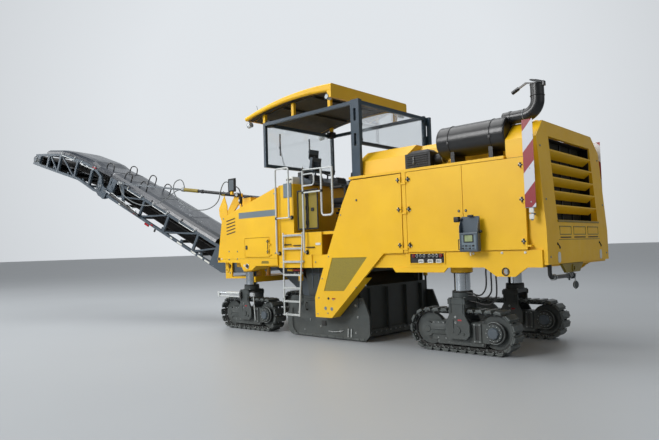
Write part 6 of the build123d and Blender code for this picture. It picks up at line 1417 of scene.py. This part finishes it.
def mast_gear():
    """Pin caps, bolts and ribs on the slew yoke's mast."""
    parts = []
    for y in (-1, 1):
        parts += [
            barrel((0.330, y * 0.656, 1.25), (0.330, y * 0.672, 1.25), 0.056, "dark_iron", 24, 0.004),
            barrel((0.020, y * 0.732, 2.755), (0.020, y * 0.742, 2.755), 0.034, "zinc_steel", 20, 0.003),
        ]
        for z in (1.10, 1.45, 1.80, 2.15):
            parts += bolt((0.30, y * 0.648, z), (0, y, 0), 0.012)
        parts.append(block((0.395, min(y * 0.648, y * 0.664), 1.50), (0.420, max(y * 0.648, y * 0.664), 2.20),
                           "slate_steel", 0.004))
    fitted("mast_gear", parts, "slew_yoke", SLEWED)


def fold_gear():
    """Ports, gland rings and rigid lines on the fold cylinders."""
    foot, eye = fold_point(-1.330, 0.122), fold_point(-0.035, 0.197)
    run = Vector((eye[0] - foot[0], 0, eye[1] - foot[1])).normalized()
    parts = []
    for y in (-0.650, 0.650):
        def along(d, off=0.0):
            return (foot[0] + run.x * d - run.z * off, y, foot[1] + run.z * d + run.x * off)
        parts += [
            barrel(along(1.045), along(1.092), 0.036, "dark_iron", 20, 0.003),
            barrel(along(0.060), along(0.100), 0.034, "dark_iron", 20, 0.003),
        ]
        for d in (0.11, 1.06):
            parts.append(barrel(along(d, 0.028), along(d, 0.060), 0.013, "zinc_steel", 8, 0.002))
        line = (along(0.11, 0.058), along(0.14, 0.066), along(0.50, 0.050), along(0.98, 0.052), along(1.06, 0.058))
        parts.append(pipe(line, 0.008, "zinc_steel", 2))
    fitted("fold_barrel_gear", parts, "fold_barrels", SLEWED)


def fold_point(along, up):
    """A point from the fold pin along and square to the inner boom, in the slewed frame."""
    t = radians(INNER_SLOPE)
    return (FOLD_S + along * cos(t) - up * sin(t), FOLD_Z - 0.055 + along * sin(t) + up * cos(t))


# ---- hoses ----
HOSES = (
    # name, frame, body, length, finish, lay, points
    ("strut_hose_left", "slewed", "luff_barrels", 2.826, "hose_grey", "hanging",
     ((1.50, 0.700, 3.020), (1.50, 0.700, 3.12), (1.60, 0.71, 3.24), (1.80, 0.74, 3.14), (1.74, 0.76, 2.84),
      (1.30, 0.78, 2.52), (0.80, 0.78, 2.46), (0.48, 0.76, 2.62), (0.44, 0.74, 2.90), (0.36, 0.70, 3.08),
      (0.212, 0.700, 3.02), (0.212, 0.700, 2.84))),
    ("boom_hose_left", "slewed", "luff_barrels", 2.27, "hose_grey", "hanging",
     ((1.56, 0.735, 2.988), (1.62, 0.80, 2.975), (1.85, 0.80, 2.85), (2.25, 0.77, 2.69), (2.70, 0.75, 2.68),
      (3.10, 0.74, 2.80), (3.38, 0.73, 2.98), (3.50, 0.72, 3.12), (3.53, 0.705, 3.25))),
    ("column_hose_rear_1", "machine", "machine", 1.06, "hose_black", "hanging",
     ((0.80, 0.901, 1.26), (0.80, 0.98, 1.26), (0.80, 1.03, 1.18), (0.79, 1.03, 0.94), (0.81, 1.02, 0.79),
      (0.92, 0.98, 0.70), (1.06, 0.95, 0.70), (1.16, 0.95, 0.738), (1.287, 0.95, 0.745))),
    ("column_hose_rear_2", "machine", "machine", 0.92, "hose_black", "hanging",
     ((0.87, 0.901, 1.26), (0.87, 0.98, 1.26), (0.87, 1.04, 1.18), (0.86, 1.04, 0.98), (0.88, 1.02, 0.87),
      (0.98, 0.98, 0.79), (1.10, 0.94, 0.79), (1.18, 0.935, 0.815), (1.287, 0.935, 0.818))),
    ("column_hose_rear_3", "machine", "machine", 0.82, "hose_black", "hanging",
     ((0.94, 0.901, 1.26), (0.94, 0.98, 1.26), (0.94, 1.05, 1.19), (0.93, 1.05, 1.04), (0.95, 1.04, 0.92),
      (1.04, 1.01, 0.83), (1.14, 0.97, 0.83), (1.21, 0.96, 0.860), (1.290, 0.96, 0.865))),
)


def hoses():
    """The free hoses of the left luff cylinder and of the rear left column."""
    frames = {"slewed": SLEWED, "machine": MACHINE}
    diameter = bpy.context.scene.planer_sizes.hose
    for name, place, body, length, finish, lay, points in HOSES:
        line = smooth_line([frames[place] @ Vector(p) for p in points], diameter / 2, finish, 3)
        line.name = line.data.name = name
        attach(line, body)


# ---- studio ----
SENSOR_WIDTH = 36.0
LENS_SHARE = 576.99 / 659             # the lens's focal length as a share of the sensor's width
EYE = (-2.88985, 8.40962, 1.54678)    # the camera's place beside the machine
EYE_TURNS = (-47.591, 2.875, -1.757)  # its yaw, pitch and roll in degrees
FLOOR_SIZE, FLOOR_DROP = 600, 0.002


def studio():
    """A pale floor, a key light from the machine's left, three fills, a graded surround and the camera."""
    scene = bpy.context.scene
    colours = scene.planer_colours
    deselect()
    bpy.ops.mesh.primitive_plane_add(size=FLOOR_SIZE, location=(0, 0, -FLOOR_DROP))
    floor = bpy.context.object
    floor.name = "studio_floor"
    material, tree, surface, where = started("pale_floor", Roughness=0.45)
    tone = add(tree, "ShaderNodeTexNoise", Vector=where, Scale=0.3, Detail=3.0)
    tinted(tree, surface, tone.outputs["Fac"], [*colours.floor, 1.0], linear("a9adb0"))
    floor.data.materials.append(material)
    scene.view_settings.view_transform = "Standard"
    world = bpy.data.worlds.new("studio")
    scene.world = world
    world.use_nodes = True
    sky = world.node_tree
    towards = add(sky, "ShaderNodeTexCoord").outputs["Generated"]
    facing = add(sky, "ShaderNodeVectorMath", {"operation": "DOT_PRODUCT"}, i0=towards, i1=(0.66, -0.72, 0.20))
    glow = add(sky, "ShaderNodeMapRange", Value=facing.outputs["Value"], From_Min=0.55, From_Max=0.95, To_Min=0.27,
               To_Max=0.82)
    sky.links.new(glow.outputs[0], sky.nodes["Background"].inputs[1])
    sky.nodes["Background"].inputs[0].default_value = (0.92, 0.96, 1.0, 1.0)
    for name, place, aim, size, power in (
        ("key", (5.0, 27.0, 16.0), (-2, 0, 1.2), 13.0, 6400.0),
        ("front", (20.0, 12.0, 11.0), (3, 0, 2), 10.0, 1500.0),
        ("sky", (1.0, 1.0, 15.0), (-1, 0, 0), 13.0, 1500.0),
        ("rear", (-16.0, 1.0, 6.0), (-5, 0, 1.5), 8.0, 90.0),
    ):
        light = bpy.data.lights.new(name, "AREA")
        light.shape = "SQUARE"
        light.size = size
        light.energy = power
        lamp = bpy.data.objects.new(name, light)
        scene.collection.objects.link(lamp)
        lamp.location = place
        lamp.rotation_euler = (Vector(aim) - Vector(place)).to_track_quat("-Z", "Y").to_euler()
    camera = bpy.data.cameras.new("camera")
    camera.sensor_width = SENSOR_WIDTH
    camera.lens = SENSOR_WIDTH * LENS_SHARE
    eye = bpy.data.objects.new("camera", camera)
    scene.collection.objects.link(eye)
    yaw, pitch, roll = (radians(turn) for turn in EYE_TURNS)
    ahead = Vector((cos(yaw) * cos(pitch), sin(yaw) * cos(pitch), sin(pitch)))
    eye.matrix_world = (Matrix.Translation(MACHINE @ Vector(EYE))
                        @ ahead.to_track_quat("-Z", "Y").to_matrix().to_4x4() @ Matrix.Rotation(roll, 4, "Z"))
    scene.camera = eye


# ---- add-on ----
class PlanerSizes(bpy.types.PropertyGroup):
    """Sizes and counts that a user would change."""
    shoes: IntProperty(name="Shoes", description="Shoes on each track", default=27, min=12, max=60)
    picks: IntProperty(name="Picks", description="Picks in each run of the drum's spiral", default=26, min=6, max=60)
    slats: FloatProperty(name="Mat rib pitch", description="Distance between the ribs of the deck mat", default=0.078,
                         min=0.03, max=0.3, unit="LENGTH")
    hole_pitch: FloatProperty(name="Hole pitch", description="Distance between the holes of the pierced sheet",
                              default=0.014, min=0.004, max=0.06, unit="LENGTH")
    hose: FloatProperty(name="Hose", description="Outside diameter of the free hydraulic hoses", default=0.022,
                        min=0.012, max=0.04, unit="LENGTH")


class PlanerColours(bpy.types.PropertyGroup):
    """Colours that a user would change."""
    body: FloatVectorProperty(name="Body", description="Enamel on the bodywork", subtype="COLOR", size=3, min=0, max=1,
                              default=linear("f0bd0a")[:3])
    frames: FloatVectorProperty(name="Frames", description="Powder coat on the frames", subtype="COLOR", size=3, min=0,
                                max=1, default=linear("4a5660")[:3])
    covers: FloatVectorProperty(name="Covers", description="Enamel on the conveyor's covers", subtype="COLOR", size=3,
                                min=0, max=1, default=linear("0f1823")[:3])
    floor: FloatVectorProperty(name="Floor", description="Studio floor", subtype="COLOR", size=3, min=0, max=1,
                               default=linear("a0a4a7")[:3])


class CoatingsAdd(bpy.types.Operator):
    """Makes the enamel, metal, rubber and clear finishes and puts them on the fixed frame's parts."""
    bl_idname = "planer.coatings"
    bl_label = "Coatings"

    def execute(self, context):
        enamel_and_metal_finishes()
        board_finish()
        sheet_finish()
        radiator_finish()
        clear_finishes()
        dress_cad_nodes()
        return {"FINISHED"}


class StudioAdd(bpy.types.Operator):
    """Adds the pale floor, the soft lights and the camera."""
    bl_idname = "planer.studio"
    bl_label = "Studio"

    def execute(self, context):
        studio()
        return {"FINISHED"}


class HosesAdd(bpy.types.Operator):
    """Adds the hanging hydraulic hoses of the conveyor and the rear column."""
    bl_idname = "planer.hoses"
    bl_label = "Free hoses"

    def execute(self, context):
        hoses()
        return {"FINISHED"}


class TracksAdd(bpy.types.Operator):
    """Adds the four chains of shoes with their links."""
    bl_idname = "planer.tracks"
    bl_label = "Crawler tracks"

    def execute(self, context):
        crawler_tracks()
        return {"FINISHED"}


class RunningGearAdd(bpy.types.Operator):
    """Adds wheel hubs, covers, bolts and guards on the crawlers."""
    bl_idname = "planer.running_gear"
    bl_label = "Running gear"

    def execute(self, context):
        crawler_gear()
        return {"FINISHED"}


class SteeringAdd(bpy.types.Operator):
    """Adds the front left crawler's steering cylinder and the lifting columns' seals."""
    bl_idname = "planer.steering"
    bl_label = "Steering gear"

    def execute(self, context):
        steering_gear()
        column_seals()
        return {"FINISHED"}


class DoorsAdd(bpy.types.Operator):
    """Adds hinges and locks of the service doors, and the dark strips of painted shade behind their gaps."""
    bl_idname = "planer.doors"
    bl_label = "Service doors"

    def execute(self, context):
        door_fittings()
        door_gap_shade()
        return {"FINISHED"}


class GuardsAdd(bpy.types.Operator):
    """Adds the pierced window and fasteners of the belt guard."""
    bl_idname = "planer.guards"
    bl_label = "Belt guard"

    def execute(self, context):
        guard_fittings()
        return {"FINISHED"}


class ConnectorsAdd(bpy.types.Operator):
    """Adds the row of connectors and the lashing rims on the sill."""
    bl_idname = "planer.connectors"
    bl_label = "Connector bank"

    def execute(self, context):
        connector_bank()
        lashing_rims()
        return {"FINISHED"}


class ControlPanelAdd(bpy.types.Operator):
    """Adds the levelling control panel on the rear door."""
    bl_idname = "planer.control_panel"
    bl_label = "Levelling panel"

    def execute(self, context):
        control_panel()
        return {"FINISHED"}


class FrontAdd(bpy.types.Operator):
    """Adds slots, decal bands, bolts, eyes and the hatches' fittings on the front body."""
    bl_idname = "planer.front"
    bl_label = "Front body"

    def execute(self, context):
        front_fittings()
        return {"FINISHED"}


class FrontTopAdd(bpy.types.Operator):
    """Adds the mirrors' arm, work lamp, column caps and tow eyes."""
    bl_idname = "planer.front_top"
    bl_label = "Mirror and caps"

    def execute(self, context):
        front_top_gear()
        return {"FINISHED"}


class CowlAdd(bpy.types.Operator):
    """Adds the radiator's core, grille row, handles and lifting eyes on the cowl."""
    bl_idname = "planer.cowl"
    bl_label = "Cowl"

    def execute(self, context):
        cowl_fittings()
        return {"FINISHED"}


class BoardsAdd(bpy.types.Operator):
    """Adds bolts, clips and reflectors of the striped boards."""
    bl_idname = "planer.boards"
    bl_label = "Warning boards"

    def execute(self, context):
        board_fittings()
        return {"FINISHED"}


class FillingPipeAdd(bpy.types.Operator):
    """Adds flanges, lever, chain and cap of the filling pipe."""
    bl_idname = "planer.filling_pipe"
    bl_label = "Filling pipe"

    def execute(self, context):
        pipe_fittings()
        return {"FINISHED"}


class PlatformAdd(bpy.types.Operator):
    """Adds cabinet doors, step plates and the mat of the operator's platform."""
    bl_idname = "planer.platform"
    bl_label = "Platform"

    def execute(self, context):
        platform_fittings()
        return {"FINISHED"}


class RailClampsAdd(bpy.types.Operator):
    """Adds the clamps and treads of rails and ladders."""
    bl_idname = "planer.rail_clamps"
    bl_label = "Rail clamps"

    def execute(self, context):
        rail_clamps()
        return {"FINISHED"}


class ConsoleAdd(bpy.types.Operator):
    """Adds displays, keys, levers and boxes on the operator's console."""
    bl_idname = "planer.console"
    bl_label = "Console"

    def execute(self, context):
        console_fittings()
        return {"FINISHED"}


class SeatsAdd(bpy.types.Operator):
    """Adds the two padded seats with their frames."""
    bl_idname = "planer.seats"
    bl_label = "Seats"

    def execute(self, context):
        seats()
        return {"FINISHED"}


class CanopyAdd(bpy.types.Operator):
    """Adds the dark underside of painted shade, lamps, wipers and aerial of the canopy."""
    bl_idname = "planer.canopy"
    bl_label = "Canopy"

    def execute(self, context):
        canopy_fittings()
        return {"FINISHED"}


class ExhaustAdd(bpy.types.Operator):
    """Adds bands, collars, louvres and the grating on the hood."""
    bl_idname = "planer.exhaust"
    bl_label = "Exhaust and intake"

    def execute(self, context):
        exhaust_fittings()
        return {"FINISHED"}


class SidePlatesAdd(bpy.types.Operator):
    """Adds wear strips, hooks and bolts of the side plates and the drum bay."""
    bl_idname = "planer.side_plates"
    bl_label = "Side plates"

    def execute(self, context):
        side_plate_fittings()
        drum_bay_gear()
        return {"FINISHED"}


class MoldboardAdd(bpy.types.Operator):
    """Adds the wear blades of the moldboard."""
    bl_idname = "planer.moldboard"
    bl_label = "Moldboard"

    def execute(self, context):
        moldboard_fittings()
        return {"FINISHED"}


class PicksAdd(bpy.types.Operator):
    """Adds the tips and holders of the drum's picks in their double spiral."""
    bl_idname = "planer.picks"
    bl_label = "Drum picks"

    def execute(self, context):
        drum_picks()
        return {"FINISHED"}


class HoodsAdd(bpy.types.Operator):
    """Adds handles, seams and hoops on the conveyor's covers."""
    bl_idname = "planer.hoods"
    bl_label = "Conveyor covers"

    def execute(self, context):
        hood_fittings()
        return {"FINISHED"}


class BoomsAdd(bpy.types.Operator):
    """Adds rollers, bolts, strips, reflectors and drum flanges on the two booms."""
    bl_idname = "planer.booms"
    bl_label = "Booms"

    def execute(self, context):
        boom_gear()
        return {"FINISHED"}


class CylindersAdd(bpy.types.Operator):
    """Adds sleeves, glands and lines of the conveyor's cylinders."""
    bl_idname = "planer.cylinders"
    bl_label = "Conveyor cylinders"

    def execute(self, context):
        strut_gear()
        fold_gear()
        return {"FINISHED"}


class MastAdd(bpy.types.Operator):
    """Adds pin caps and bolts on the slewing mast."""
    bl_idname = "planer.mast"
    bl_label = "Mast"

    def execute(self, context):
        mast_gear()
        return {"FINISHED"}


STEPS = (
    CoatingsAdd, StudioAdd, HosesAdd, TracksAdd, RunningGearAdd, SteeringAdd, DoorsAdd, GuardsAdd, ConnectorsAdd,
    ControlPanelAdd, FrontAdd, FrontTopAdd, CowlAdd, BoardsAdd, FillingPipeAdd, PlatformAdd, RailClampsAdd, ConsoleAdd,
    SeatsAdd, CanopyAdd, ExhaustAdd, SidePlatesAdd, MoldboardAdd, PicksAdd, HoodsAdd, BoomsAdd, CylindersAdd, MastAdd,
)


class PlanerPanel(bpy.types.Panel):
    """Lists the sizes, the colours and the steps that build the planer's dressing."""
    bl_idname = "VIEW3D_PT_planer"
    bl_label = "Cold planer"
    bl_space_type = "VIEW_3D"
    bl_region_type = "UI"
    bl_category = "Planer"

    def draw(self, context):
        for group in (context.scene.planer_sizes, context.scene.planer_colours):
            column = self.layout.column(align=True)
            for name in group.bl_rna.properties.keys():
                if name not in ("rna_type", "name"):
                    column.prop(group, name)
        for step in STEPS:
            self.layout.operator(step.bl_idname)


CLASSES = (PlanerSizes, PlanerColours) + STEPS + (PlanerPanel,)


def register():
    for made in CLASSES:
        bpy.utils.register_class(made)
    bpy.types.Scene.planer_sizes = PointerProperty(type=PlanerSizes)
    bpy.types.Scene.planer_colours = PointerProperty(type=PlanerColours)


def unregister():
    del bpy.types.Scene.planer_sizes
    del bpy.types.Scene.planer_colours
    for made in reversed(CLASSES):
        bpy.utils.unregister_class(made)


def main():
    """Builds the dressing in order."""
    register()
    for step in STEPS:
        group, name = step.bl_idname.split(".")
        getattr(getattr(bpy.ops, group), name)()


if __name__ == "__main__":
    main()
